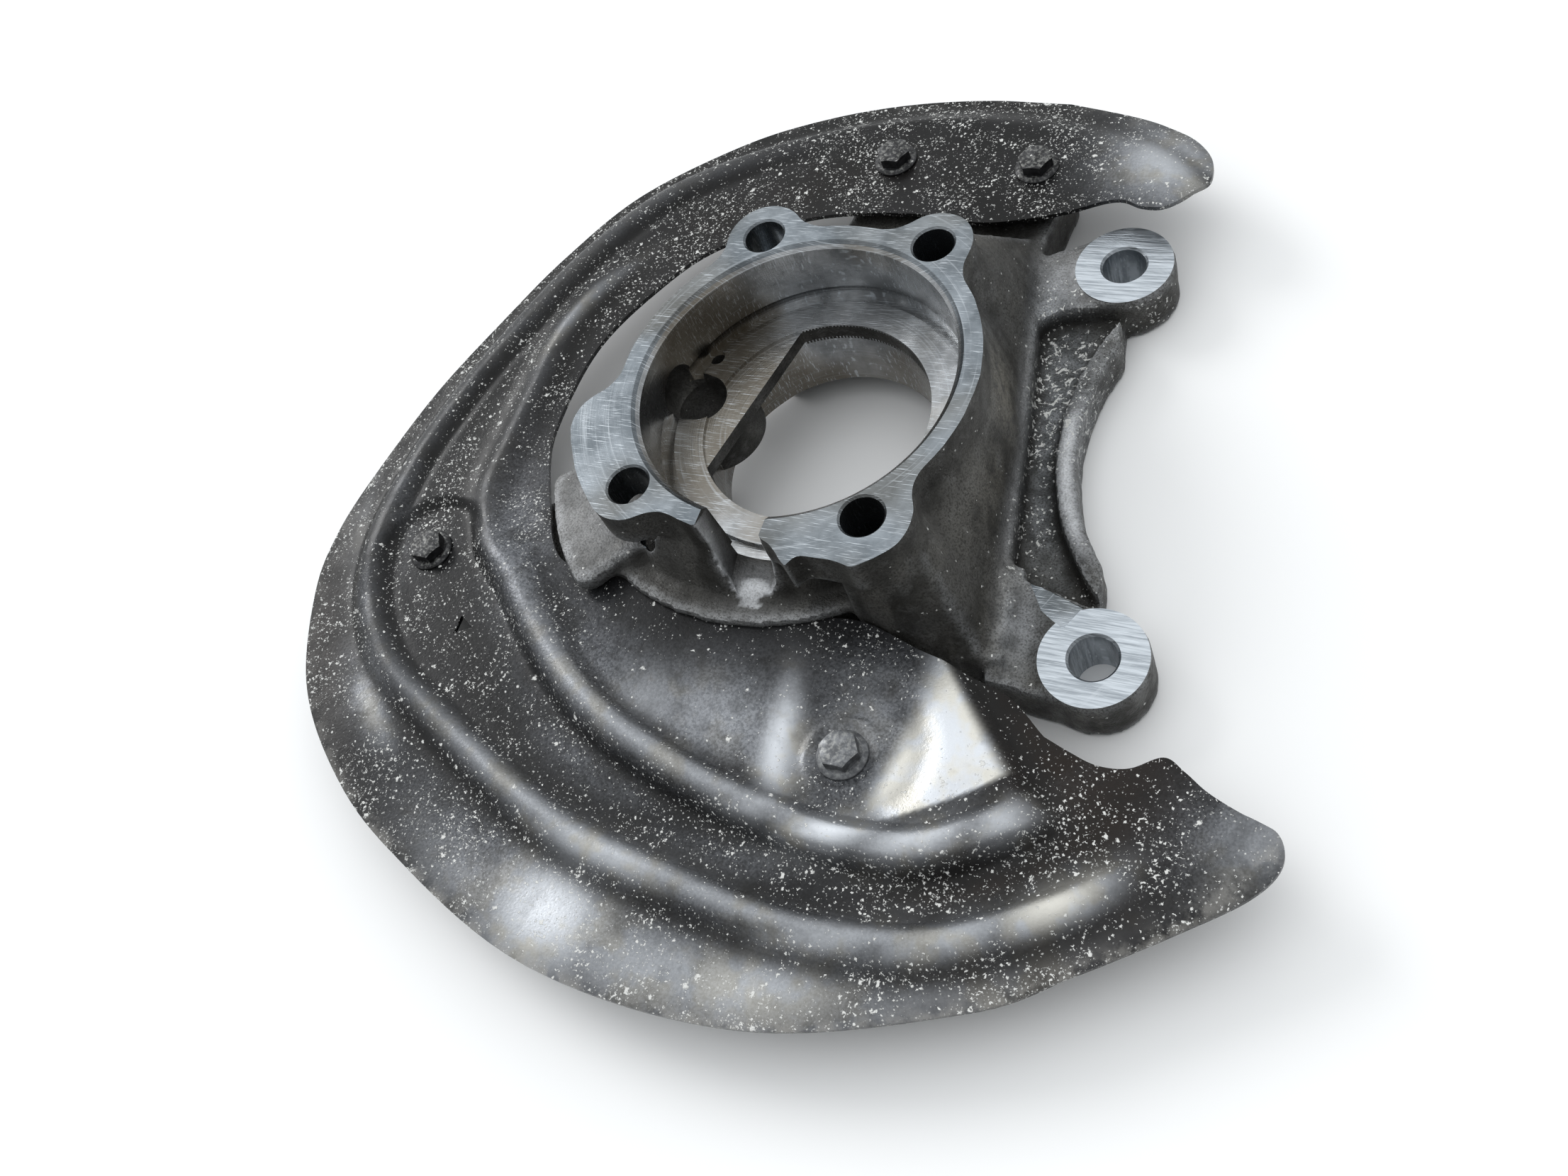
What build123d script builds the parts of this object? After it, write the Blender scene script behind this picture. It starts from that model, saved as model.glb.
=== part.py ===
from build123d import *
import math
import os

# A passenger-car steering knuckle with its pressed splash shield, in millimetres.
# Frame: the origin is on the wheel axis, at the machined face that the wheel bearing bolts to.
# +Z points along the wheel axis, towards the wheel. +Y is the symmetry axis of the four
# bearing bolts, and the brake caliper is on the +X side.

# How far a cut runs on past the face that it opens.
cut_overrun = 1.0

# ---- bearing seat -------------------------------------------------------------------------
seat_radius = 48.0
seat_chamfer = 2.0
seat_depth = 22.5
seat_groove_depth = 2.0
seat_groove_width = 3.0
seat_groove_height = 3.5
shaft_opening_radius = 35.7
hub_depth = 49.0

# ---- bearing bolt ring --------------------------------------------------------------------
ring_radius = 55.4
bearing_pcd = 114.3
bearing_hole_diameter = 12.5
upper_pair_angle = 29.15
lower_pair_angle = 39.65
ear_radius = 12.0
lower_right_ear_radius = 14.0
ear_thickness = 13.0
ear_blend_radius = 12.0
left_lobe_sweep = 26.0
lower_right_lobe_sweep = 11.0

# ---- sensor side of the opening -----------------------------------------------------------
web_chord_distance = 23.2
web_chord_angle = 166.7
web_drop = 1.0
web_thickness = 4.5
sensor_hole_diameter = 17.0
sensor_hole_radius = 40.8
sensor_hole_angle = 175.4
sensor_boss_radius = 15.5
sensor_boss_foot = -41.0
sensor_scoop_radius = 9.2
sensor_scoop_shift = 2.5
sensor_scoop_lift = 2.0
sensor_screw_diameter = 5.3
sensor_screw_depth = 12.0
sensor_screw_radius = 45.0
sensor_screw_angle = 155.2

# ---- drain channel through the ring -------------------------------------------------------
drain_angle = 269.5
drain_width = 20.0
drain_floor_width = 15.0
drain_drop = 3.5
drain_end_radius = 62.0
drain_end_width = 5.0
drain_end_drop = 6.4

# ---- hub body and its lower flange --------------------------------------------------------
hub_top_radius = 53.5
hub_base_radius = 58.5
hub_flare_depth = 40.0
hub_relief_radius = 46.0
flange_radius = 74.1
flange_centre_x = -9.8
flange_centre_y = 6.4
flange_top = -29.0
flange_thickness = 3.5
flange_rim_width = 7.0
flange_start_angle = 228.0
flange_end_angle = 298.0
tab_radius = 86.7
tab_top = -24.5
tab_thickness = 6.0
tab_root_inset = 8.0
tab_root_angle = 8.0
tab_start_angle = 200.0
tab_end_angle = 231.0
tab_corner_radius = 5.0

# ---- caliper bracket ----------------------------------------------------------------------
caliper_angle = 10.0
caliper_offset = 84.5
caliper_spacing = 138.1
caliper_hole_diameter = 13.5
caliper_face = -43.0
lug_face_radius = 15.2
lug_radius = 15.6
lug_face_height = 1.2
bracket_inner_offset = 57.5
bracket_edge_offset = 74.4
bracket_edge_radius = 80.0
bracket_rib_width = 6.0
bracket_rib_drop = 1.5
bracket_pocket_depth = 8.0
bracket_pad_drop = 1.0
bracket_pad_width = 31.0
bracket_pad_start = 55.0
bracket_pad_corner = 9.0
lower_pad_rise = 14.0
shoulder_offset = 40.0
shoulder_upper_inset = 1.0
shoulder_lower_inset = 13.0
flank_start_angle = -62.0
flank_end_angle = 74.0
flank_stations = 35
flank_ear_inset = 1.0
bracket_root_lap = 1.0

# ---- feet, and the arms behind the shield --------------------------------------------------
foot_plane = -60.0
arm_gap = 2.5
upper_arm_root_radius = 34.0
upper_arm_root_y = 14.0
lower_arm_root_radius = 30.0
lower_arm_root_x = 4.0
lower_arm_root_y = -24.0
left_arm_root_radius = 19.0
left_arm_root_x = -40.0
left_arm_root_y = -26.0
upper_arm_x = 10.0
upper_arm_y = 121.0
upper_arm_bore = 14.0
lower_arm_x = 2.0
lower_arm_y = -117.0
lower_arm_bore = 16.0
tie_rod_x = -131.0
tie_rod_y = -28.0
tie_rod_bore = 12.0
arm_end_wall = 8.0
arm_boss_wall = 2.0

# ---- splash shield: levels of its outer face ----------------------------------------------
sheet_thickness = 1.5
shield_gap = 1.5
rim_level = -38.5
arm_level = -35.5
channel_level = -37.2
plateau_level = -33.0
bead_height = 2.4
bead_width = 8.0
bead_inset = 7.0
step_width = 5.0
sheet_margin = 6.0
sheet_stations = 112
sheet_steps = 50

# ---- splash shield: where the pressed shapes start and end, in degrees about the wheel axis --
# Each is (middle of the change, degrees that the change takes).
arm_blend = (96.0, 40.0)
channel_start = (198.0, 7.0)
plateau_start = (205.0, 16.0)
plateau_end = (313.0, 4.0)
outer_bead_start = (118.0, 30.0)
outer_bead_end = (314.5, 10.0)
inner_bead_start = (150.0, 14.0)
inner_bead_end = (310.0, 4.0)
arm_rim_radius = 141.0
arm_rim_width = 10.0

# Domes near the sheet's two ends: (angle, radius, half length, half width, height).
domes = [
    (56.0, 138.0, 16.0, 14.0, 4.5),
    (66.0, 146.5, 20.0, 6.0, 2.5),
    (326.0, 164.0, 20.0, 14.0, 2.0),
]

# ---- splash shield: beads and edges, as (angle in degrees, radius) about the wheel axis ----
outer_bead = [(100, 138), (120, 139.5), (136, 142), (150, 140.5), (165, 140.5), (179, 146), (190, 153),
              (201, 160), (209, 163), (219, 160), (230, 151.5), (241, 147), (258, 146.5), (272, 149),
              (287, 159), (299, 167), (308, 169), (320, 173)]
inner_bead = [(140, 124), (150, 124.5), (162, 123.5), (175, 119), (186, 119), (197, 122), (206, 119),
              (217, 112), (231, 110.5), (249, 113.5), (264, 117.5), (276, 123.5), (284, 129.5),
              (292, 136.5), (300, 143), (310, 144.5)]
outer_edge = [(75, 150.9), (86, 148.6), (98, 147.2), (110, 147.0), (122, 147.4), (138, 148.3), (152, 146.4),
              (165, 147.3), (178.5, 154.6), (191.5, 165.5), (199, 174.0), (206, 179.2), (217, 182.9),
              (228, 181.0), (240, 177.4), (260, 176.6), (281, 177.4), (300, 178.7), (309, 179.0),
              (316, 181.2)]
lower_end = [(316, 181.2), (322.7, 184.9), (326.4, 184.3), (328.1, 178.0), (327.2, 169.0), (326.6, 160.0),
             (326.6, 152.0), (326.3, 145.4), (323, 141.7), (320.7, 135.8), (319.3, 128.5), (318.0, 121.0)]
inner_edge = [(318.0, 121.0), (317, 104), (309, 84), (300, 69.0), (289, 63.5), (262, 64.0), (240, 69.0),
              (228, 78.0), (218, 89.4), (206, 91.5), (194, 94.9), (183, 97.4), (164, 100.0), (147, 100.1),
              (132, 100.5), (112, 97.0), (92, 93.4), (76.5, 93.3), (67.7, 100.6), (62, 109.7)]
upper_end = [(62, 109.7), (58.5, 117.5), (56, 121.2), (53, 122.9), (50.5, 127.3), (49.6, 135.3),
             (50.2, 144.1), (52.7, 150.5), (56.5, 153.3), (60.5, 153.0), (65, 152.2), (75, 150.9)]
room_start_angle = 280.0
room_end_angle = 320.0

# ---- shield bolts -------------------------------------------------------------------------
bolt_diameter = 6.0
bolt_hole_diameter = 6.6
bolt_length = 18.0
bolt_hex = 10.0
bolt_head_height = 5.0
bolt_flange_diameter = 14.6
bolt_flange_height = 1.4
bolt_flange_slope = 1.2
bolt_crown = 0.3
bolt_crown_height = 3.0
bolt_boss_radius = 8.5
bolt_seat_radius = 11.5
bolt_seat_blend = 7.0
bolt_seat_gap = 0.1
bolt_thread_depth = 20.0
bolts = {
    "shield_bolt_upper_left": (-14.6, 116.7, arm_level),
    "shield_bolt_upper_right": (35.7, 115.0, arm_level),
    "shield_bolt_left": (-122.7, -57.3, channel_level),
    "shield_bolt_lower": (39.9, -98.9, plateau_level),
}
vent_hole_x = -98.3
vent_hole_y = -81.0
vent_hole_side = 6.5


def polar(radius, angle, z=0.0):
    turn = math.radians(angle)
    return Vector(radius * math.cos(turn), radius * math.sin(turn), z)


def smooth(x):
    """A step from 0 to 1 as x goes from -0.5 to 0.5, level at both ends."""
    t = min(max(x + 0.5, 0.0), 1.0)
    return t * t * (3.0 - 2.0 * t)


def begun(angle, change):
    """How far a change along the shield has come at this angle, from 0 to 1."""
    middle, sweep = change
    return smooth((angle - middle) / sweep)


def ridge(x):
    """A rounded ridge, 1 high at x = 0 and nearly gone at x = 1.5."""
    return math.exp(-2.0 * x * x)


def along(points, angle):
    """Radius of a line given by (angle, radius) points, as a smooth curve through them."""
    if angle <= points[0][0]:
        return points[0][1]
    for i in range(len(points) - 1):
        (a0, r0), (a1, r1) = points[i], points[i + 1]
        if angle <= a1:
            before = points[i - 1] if i > 0 else points[i]
            after = points[i + 2] if i + 2 < len(points) else points[i + 1]
            slope0 = (r1 - before[1]) / (a1 - before[0])
            slope1 = (after[1] - r0) / (after[0] - a0)
            t = (angle - a0) / (a1 - a0)
            span = a1 - a0
            return ((2 * t**3 - 3 * t**2 + 1) * r0 + (t**3 - 2 * t**2 + t) * span * slope0
                    + (3 * t**2 - 2 * t**3) * r1 + (t**3 - t**2) * span * slope1)
    return points[-1][1]


def shield_height(radius, angle):
    """Height of the shield's outer face at a point given by its radius and angle."""
    outer = along(outer_bead, angle)
    inner = along(inner_bead, angle)
    raised = begun(angle, plateau_start) * (1 - begun(angle, plateau_end))
    outer_beaded = begun(angle, outer_bead_start) * (1 - begun(angle, outer_bead_end))
    inner_beaded = begun(angle, inner_bead_start) * (1 - begun(angle, inner_bead_end))
    past_arm = begun(angle, arm_blend)
    inside_arm_rim = smooth((arm_rim_radius - radius) / arm_rim_width)
    inside_outer = smooth((outer - radius) / step_width)
    inside_inner = smooth((inner - radius) / step_width)

    middle = arm_level + (channel_level - arm_level) * begun(angle, channel_start)
    height = rim_level + (middle - rim_level) * inside_outer * past_arm
    height += (arm_level - rim_level) * inside_arm_rim * (1 - past_arm)
    height += (plateau_level - middle) * raised * inside_inner
    height += bead_height * outer_beaded * ridge((radius - outer + bead_inset) / bead_width)
    height += bead_height * inner_beaded * ridge((radius - inner + bead_inset) / bead_width)

    for dome_angle, dome_radius, half_length, half_width, rise in domes:
        round_it = math.radians(angle - dome_angle) * dome_radius / half_length
        height += rise * ridge(math.hypot(round_it, (radius - dome_radius) / half_width) / 2)
    for x, y, level in bolts.values():
        away = (polar(radius, angle) - Vector(x, y, 0)).length
        height += (level - height) * smooth(0.5 - (away - bolt_seat_radius) / bolt_seat_blend)
    return height


# ---- bearing ring -------------------------------------------------------------------------
def blend_angle(ear):
    """Angle between an ear's centre and the point where its blend meets the ring."""
    centre = bearing_pcd / 2
    reach = ring_radius + ear_blend_radius
    cosine = (centre**2 + reach**2 - (ear + ear_blend_radius) ** 2) / (2 * centre * reach)
    return math.degrees(math.acos(cosine))


def middle_of(centre, start, end, radius):
    """The middle point of an arc about a centre."""
    return centre + ((start - centre).normalized() + (end - centre).normalized()).normalized() * radius


def ear_side(angle, ear, side):
    """Two arcs, from the ring up its blend and round the ear to its outermost point."""
    turn = side * blend_angle(ear)
    centre = polar(bearing_pcd / 2, angle)
    blend = polar(ring_radius + ear_blend_radius, angle + turn)
    on_ring = polar(ring_radius, angle + turn)
    on_ear = centre + (blend - centre).normalized() * ear
    outermost = polar(bearing_pcd / 2 + ear, angle)
    return [
        ThreePointArc(on_ring, middle_of(blend, on_ring, on_ear, ear_blend_radius), on_ear),
        ThreePointArc(on_ear, middle_of(centre, on_ear, outermost, ear), outermost),
    ]


def ring_outline():
    """Outline of the ring with its four ears: the lower two are drawn out into lobes."""
    lower_left = 270 - lower_pair_angle
    lower_right = 270 + lower_pair_angle
    lobes = [
        (90 - upper_pair_angle, 90 - upper_pair_angle, ear_radius),
        (90 + upper_pair_angle, 90 + upper_pair_angle, ear_radius),
        (lower_left - left_lobe_sweep, lower_left, ear_radius),
        (lower_right - lower_right_lobe_sweep, lower_right, lower_right_ear_radius),
    ]
    edges = []
    for i, (first, last, ear) in enumerate(lobes):
        edges += ear_side(first, ear, -1)
        if last > first:
            rim = [polar(bearing_pcd / 2 + ear, angle) for angle in (first, (first + last) / 2, last)]
            edges.append(ThreePointArc(*rim))
        edges += ear_side(last, ear, 1)
        next_first, _, next_ear = lobes[(i + 1) % len(lobes)]
        leave = last + blend_angle(ear)
        arrive = next_first - blend_angle(next_ear)
        if arrive < leave:
            arrive += 360
        halfway = polar(ring_radius, (leave + arrive) / 2)
        edges.append(ThreePointArc(polar(ring_radius, leave), halfway, polar(ring_radius, arrive)))
    return make_face(edges)


def bearing_angles():
    return [middle + side * half for middle, half in ((90, upper_pair_angle), (270, lower_pair_angle))
            for side in (-1, 1)]


def disc(radius, z, x=0.0, y=0.0):
    return Pos(x, y, z) * Circle(radius)


def skewed_cone(top, bottom):
    """A cone between two level circles, each given as (x, y, z, radius)."""
    return loft([disc(bottom[3], bottom[2], bottom[0], bottom[1]), disc(top[3], top[2], top[0], top[1])])


def cylinder(x, y, low, high, radius):
    return extrude(disc(radius, low, x, y), amount=high - low)


def through_cut(place, high, radius):
    """A round cut on an upright axis, from below the feet to past the face at height high."""
    return cylinder(place.X, place.Y, foot_plane - cut_overrun, high + cut_overrun, radius)


def caliper_point(offset, across, z=0.0):
    """A point in the caliper's own directions: away from the wheel axis, and along the lugs."""
    turn = math.radians(caliper_angle)
    return Vector(offset * math.cos(turn) - across * math.sin(turn),
                  offset * math.sin(turn) + across * math.cos(turn), z)


def level_plate(points, low, high):
    """A plate between two heights whose outline runs straight through the given points."""
    outline = Polyline([Vector(p.X, p.Y, low) for p in points], close=True)
    return extrude(make_face(outline), amount=high - low, dir=(0, 0, 1))


def make_hub():
    ring = extrude(ring_outline(), amount=-ear_thickness)
    flare = skewed_cone((0, 0, -ear_thickness / 2, hub_top_radius), (0, 0, -hub_flare_depth, hub_base_radius))
    return ring + flare + cylinder(0, 0, -hub_depth, -hub_flare_depth, hub_base_radius)


def make_flange():
    """The casting's rim over the shield's inner edge, and the slope from the ring down to it."""
    low = flange_top - flange_thickness
    far = 4 * flange_radius
    middle = (flange_start_angle + flange_end_angle) / 2
    corners = [polar(0, 0)] + [polar(far, angle) for angle in (flange_start_angle, middle, flange_end_angle)]
    rim = cylinder(flange_centre_x, flange_centre_y, low, flange_top, flange_radius)
    slope = skewed_cone((0, 0, -ear_thickness / 2, hub_top_radius),
                        (flange_centre_x, flange_centre_y, low, flange_radius - flange_rim_width))
    return (rim + slope) & level_plate(corners, low, 0)


def make_tab():
    """The flat tab of the casting beside the ring, over the shield's inner edge."""
    inner = ring_radius - tab_root_inset
    middle = (tab_start_angle + tab_end_angle) / 2
    start, end = polar(tab_radius, tab_start_angle), polar(tab_radius, tab_end_angle)
    start_root, end_root = polar(inner, tab_start_angle - tab_root_angle), polar(inner, tab_end_angle)
    edges = [
        ThreePointArc(start, polar(tab_radius, middle), end),
        Line(end, end_root),
        Line(end_root, start_root),
        Line(start_root, start),
    ]
    outline = Pos(0, 0, tab_top - tab_thickness) * make_face(edges)
    plate = extrude(outline, amount=tab_thickness, dir=(0, 0, 1))
    corners = [e for e in plate.edges().filter_by(Axis.Z) if e.center().length > tab_radius - tab_thickness]
    return fillet(corners, tab_corner_radius)


def bracket_plate(points, high):
    """A plate from the feet up, through (offset, across) points in the caliper's directions."""
    return level_plate([caliper_point(offset, across) for offset, across in points], foot_plane, high)


def make_pad(side):
    """The level pad of one lug, from the bracket's inner ridge out to the lug."""
    half = caliper_spacing / 2
    near = half - bracket_pad_width / 2
    start = near - (lower_pad_rise if side < 0 else 0)
    far = half + lug_radius
    corner = far - bracket_pad_corner
    return bracket_plate([(bracket_pad_start, side * start), (caliper_offset, side * near),
                          (caliper_offset, side * far), (bracket_pad_start, side * corner)],
                         caliper_face - bracket_pad_drop)


def make_bracket():
    """The caliper bracket: two lugs and a web with a raised rib along its hollow edge."""
    half = caliper_spacing / 2
    top = caliper_face - bracket_pad_drop
    near = half - bracket_pad_width / 2
    shoulder = bracket_plate(shoulder_outline(), top)
    inner = bracket_inner_offset - bracket_root_lap
    web = bracket_plate([(inner, -half), (caliper_offset, -half), (caliper_offset, half), (inner, half)],
                        top - bracket_pocket_depth)
    hollow = caliper_point(bracket_edge_offset + bracket_edge_radius, 0)
    rib_radius = bracket_edge_radius + bracket_rib_width
    rib = cylinder(hollow.X, hollow.Y, foot_plane, top - bracket_rib_drop, rib_radius)
    rib &= bracket_plate([(inner, -near), (caliper_offset, -near), (caliper_offset, near), (inner, near)],
                         top)
    body = shoulder + web + rib + make_pad(1) + make_pad(-1)
    body -= through_cut(hollow, caliper_face, bracket_edge_radius)
    for side in (1, -1):
        lug = caliper_point(caliper_offset, side * half)
        body += cylinder(lug.X, lug.Y, foot_plane, caliper_face - lug_face_height, lug_radius)
        body += cylinder(lug.X, lug.Y, foot_plane, caliper_face, lug_face_radius)
    return body


def shoulder_outline():
    """The shoulder's corners from its lower root round to its upper one, as (offset, across)."""
    end = caliper_spacing / 2 + lug_radius
    return [
        (0, -hub_base_radius),
        (shoulder_offset, shoulder_lower_inset - end),
        (bracket_inner_offset, shoulder_lower_inset - end),
        (bracket_inner_offset, end - shoulder_upper_inset),
        (shoulder_offset, end - shoulder_upper_inset),
        (0, hub_base_radius),
    ]


def ear_reach(angle):
    """Radius of the ring and its two right-hand ears, along a ray from the wheel axis."""
    reach = hub_top_radius
    for middle, ear in ((90 - upper_pair_angle, ear_radius), (lower_pair_angle - 90, lower_right_ear_radius)):
        turn = math.radians(angle - middle)
        aside = bearing_pcd / 2 * math.sin(turn)
        if abs(aside) < ear and math.cos(turn) > 0:
            far_side = bearing_pcd / 2 * math.cos(turn) + math.sqrt(ear**2 - aside**2)
            reach = max(reach, far_side - flank_ear_inset)
    return reach


def shoulder_reach(angle):
    """Radius of the shoulder's outline along a ray from the wheel axis."""
    turn = math.radians(angle - caliper_angle)
    across, up = math.cos(turn), math.sin(turn)
    outline = shoulder_outline()
    for (u0, v0), (u1, v1) in zip(outline, outline[1:]):
        start, end = u0 * up - v0 * across, u1 * up - v1 * across
        if start * end <= 0 and start != end:
            share = start / (start - end)
            u, v = u0 + (u1 - u0) * share, v0 + (v1 - v0) * share
            if u * across + v * up > 0:
                return u * across + v * up
    return hub_base_radius


def make_flank():
    """The wall that widens from the ring and its two right-hand ears down to the shoulder."""
    step = (flank_end_angle - flank_start_angle) / (flank_stations - 1)
    angles = [flank_start_angle + step * i for i in range(flank_stations)]
    gates = []
    for reach, z in ((shoulder_reach, caliper_face - bracket_pad_drop), (ear_reach, -ear_thickness / 2)):
        rim = [polar(reach(angle), angle, z) for angle in angles]
        gates.append(make_face(Polyline([Vector(0, 0, z)] + rim, close=True)))
    return loft(gates, ruled=True)


def arm_top():
    return rim_level - sheet_thickness - arm_gap


def arm_plate(*rounds):
    """A level arm behind the shield, wrapped tightly round circles given as (x, y, radius)."""
    outline = make_hull([edge for x, y, radius in rounds for edge in disc(radius, 0, x, y).edges()])
    return extrude(Pos(0, 0, foot_plane) * outline, amount=arm_top() - foot_plane, dir=(0, 0, 1))


def make_arms():
    """Arms to the suspension joints and to the shield's bolts, all behind the shield."""
    boss = bolt_boss_radius + arm_boss_wall
    seats = {name: (x, y, boss) for name, (x, y, level) in bolts.items()}
    upper_end_radius = upper_arm_bore / 2 + arm_end_wall
    lower_end_radius = lower_arm_bore / 2 + arm_end_wall
    tie_rod_end_radius = tie_rod_bore / 2 + arm_end_wall
    upper_root = (0, upper_arm_root_y, upper_arm_root_radius)
    lower_root = (lower_arm_root_x, lower_arm_root_y, lower_arm_root_radius)
    left_root = (left_arm_root_x, left_arm_root_y, left_arm_root_radius)

    arms = arm_plate(upper_root, seats["shield_bolt_upper_left"], seats["shield_bolt_upper_right"])
    arms += arm_plate((upper_arm_x, upper_arm_y, upper_end_radius), upper_root)
    arms += arm_plate(lower_root, seats["shield_bolt_lower"], (lower_arm_x, lower_arm_y, lower_end_radius))
    arms += arm_plate(left_root, seats["shield_bolt_left"])
    arms += arm_plate(seats["shield_bolt_left"], (tie_rod_x, tie_rod_y, tie_rod_end_radius))
    return arms


def make_knuckle():
    body = make_hub() + make_flank() + make_bracket() + make_arms()
    body -= through_cut(Vector(0, 0, 0), -hub_depth - cut_overrun, hub_relief_radius)
    body -= make_shield_room()
    body += make_flange() + make_tab()
    for x, y, level in bolts.values():
        seat = level - sheet_thickness - bolt_seat_gap
        body += cylinder(x, y, foot_plane, seat, bolt_boss_radius)
        body -= cylinder(x, y, seat - bolt_thread_depth, seat, bolt_diameter / 2)

    # bearing seat, its chamfer and the groove in its corner
    body -= cylinder(0, 0, -seat_depth, cut_overrun, seat_radius)
    body -= skewed_cone((0, 0, 0, seat_radius + seat_chamfer), (0, 0, -seat_chamfer, seat_radius))
    groove_low, groove_high = -seat_depth - seat_groove_depth, -seat_depth + seat_groove_height
    groove = cylinder(0, 0, groove_low, groove_high, seat_radius + seat_chamfer / 2)
    body -= groove - cylinder(0, 0, groove_low, groove_high, seat_radius - seat_groove_width)

    # opening for the drive shaft, part closed by a thin web on the sensor's side
    opening = through_cut(Vector(0, 0, 0), -seat_depth, shaft_opening_radius)
    web = Box(2 * shaft_opening_radius, 4 * shaft_opening_radius, web_thickness)
    web = Pos(web_chord_distance + shaft_opening_radius, 0, -seat_depth - web_drop - web_thickness / 2) * web
    sensor = polar(sensor_hole_radius, sensor_hole_angle)
    boss = cylinder(sensor.X, sensor.Y, sensor_boss_foot, -seat_depth - web_drop - web_thickness / 2,
                    sensor_boss_radius)
    body -= opening - Rot(0, 0, web_chord_angle) * web - boss

    # sensor hole, its scoop in the seat wall, and the screw hole beside it
    body -= through_cut(sensor, -seat_depth, sensor_hole_diameter / 2)
    scoop = polar(sensor_hole_radius + sensor_scoop_shift, sensor_hole_angle, sensor_scoop_lift - seat_depth)
    body -= Pos(scoop.X, scoop.Y, scoop.Z) * Sphere(sensor_scoop_radius)
    screw = polar(sensor_screw_radius, sensor_screw_angle)
    body -= cylinder(screw.X, screw.Y, -seat_depth - sensor_screw_depth, -seat_depth + cut_overrun,
                     sensor_screw_diameter / 2)

    # bolt holes
    for angle in bearing_angles():
        body -= through_cut(polar(bearing_pcd / 2, angle), 0, bearing_hole_diameter / 2)
    for side in (1, -1):
        hole = caliper_point(caliper_offset, side * caliper_spacing / 2)
        body -= through_cut(hole, caliper_face, caliper_hole_diameter / 2)
    for x, y, bore in ((upper_arm_x, upper_arm_y, upper_arm_bore),
                       (lower_arm_x, lower_arm_y, lower_arm_bore), (tie_rod_x, tie_rod_y, tie_rod_bore)):
        body -= through_cut(Vector(x, y, 0), arm_top(), bore / 2)

    return body - make_drain()


def make_shield_room():
    """Room for the shield's inner edge where it runs along the caliper bracket."""
    edge = [(angle, radius) for angle, radius in inner_edge if room_start_angle < angle < room_end_angle]
    beyond = 2 * flange_radius
    points = [polar(radius - shield_gap, angle) for angle, radius in edge]
    points += [polar(beyond + edge[-1][1], edge[-1][0]), polar(beyond + edge[0][1], edge[0][0])]
    return level_plate(points, rim_level - sheet_thickness - shield_gap, 0)


def make_drain():
    """The channel that leads out through the ring, narrower at its floor and towards its end."""
    gates = []
    for radius, width, floor_width, drop in (
            (seat_radius - seat_groove_width, drain_width, drain_floor_width, 0),
            (ring_radius, drain_width, drain_floor_width, drain_drop),
            (drain_end_radius, drain_width, drain_end_width, drain_end_drop)):
        outward = polar(1, drain_angle)
        place = Plane(outward * radius, x_dir=polar(1, drain_angle + 90), z_dir=outward)
        low = -seat_depth - drop
        corners = [(-width / 2, cut_overrun), (-floor_width / 2, low), (floor_width / 2, low),
                   (width / 2, cut_overrun)]
        gates.append(place * make_face(Polyline(*corners, close=True)))
    return loft(gates, ruled=True)


# ---- splash shield ------------------------------------------------------------------------
def shield_outline():
    edges = [Spline([polar(radius, angle) for angle, radius in line])
             for line in (outer_edge, lower_end, inner_edge, upper_end)]
    return make_face(edges)


def sheet_section(angle, near, far):
    """The sheet's section along a ray from the wheel axis."""
    spread = [i / sheet_steps for i in range(sheet_steps + 1)]
    radii = [near + (far - near) * part for part in spread]
    top = [polar(radius, angle, shield_height(radius, angle)) for radius in radii]
    under = [point - Vector(0, 0, sheet_thickness) for point in top]
    return make_face([
        Edge.make_spline(top, parameters=spread),
        Line(top[-1], under[-1]),
        Edge.make_spline(under[::-1], parameters=spread),
        Line(under[0], top[0]),
    ])


def make_shield():
    """The pressed sheet, drawn through radial sections of its height and cut to its outline."""
    edge = outer_edge + lower_end + inner_edge + upper_end
    first = min(angle for angle, radius in edge) - sheet_margin
    last = max(angle for angle, radius in edge) + sheet_margin
    near = min(radius for angle, radius in edge) - sheet_margin
    far = max(radius for angle, radius in edge) + sheet_margin
    angles = [first + (last - first) * i / sheet_stations for i in range(sheet_stations + 1)]
    sheet = loft([sheet_section(angle, near, far) for angle in angles])

    low = rim_level - 2 * sheet_margin
    deep = plateau_level + 3 * sheet_margin - low
    sheet = sheet & extrude(Pos(0, 0, low) * shield_outline(), amount=deep, dir=(0, 0, 1))
    for x, y, level in bolts.values():
        sheet -= cylinder(x, y, low, low + deep, bolt_hole_diameter / 2)
    vent = Pos(vent_hole_x, vent_hole_y, low) * RegularPolygon(vent_hole_side / math.sqrt(3), 3)
    return sheet - extrude(vent, amount=deep, dir=(0, 0, 1))


def make_bolt(x, y, level):
    """A hexagon bolt with its own flange, seated on the sheet."""
    base = level + bolt_seat_gap
    top = base + bolt_head_height
    corner = bolt_hex / math.sqrt(3)
    hexagon = extrude(Pos(x, y, base) * RegularPolygon(corner, 6), amount=bolt_head_height)
    wide = corner + bolt_flange_slope
    crown = skewed_cone((x, y, top, bolt_hex / 2 - bolt_crown), (x, y, top - bolt_crown_height, wide))
    crown += cylinder(x, y, base, top - bolt_crown_height, wide)
    rim = bolt_flange_diameter / 2
    flange = skewed_cone((x, y, base + bolt_flange_height, rim - bolt_flange_slope),
                         (x, y, base + bolt_flange_height / 2, rim))
    flange += cylinder(x, y, base, base + bolt_flange_height / 2, rim)
    return (hexagon & crown) + flange + cylinder(x, y, base - bolt_length, base, bolt_diameter / 2)


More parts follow.
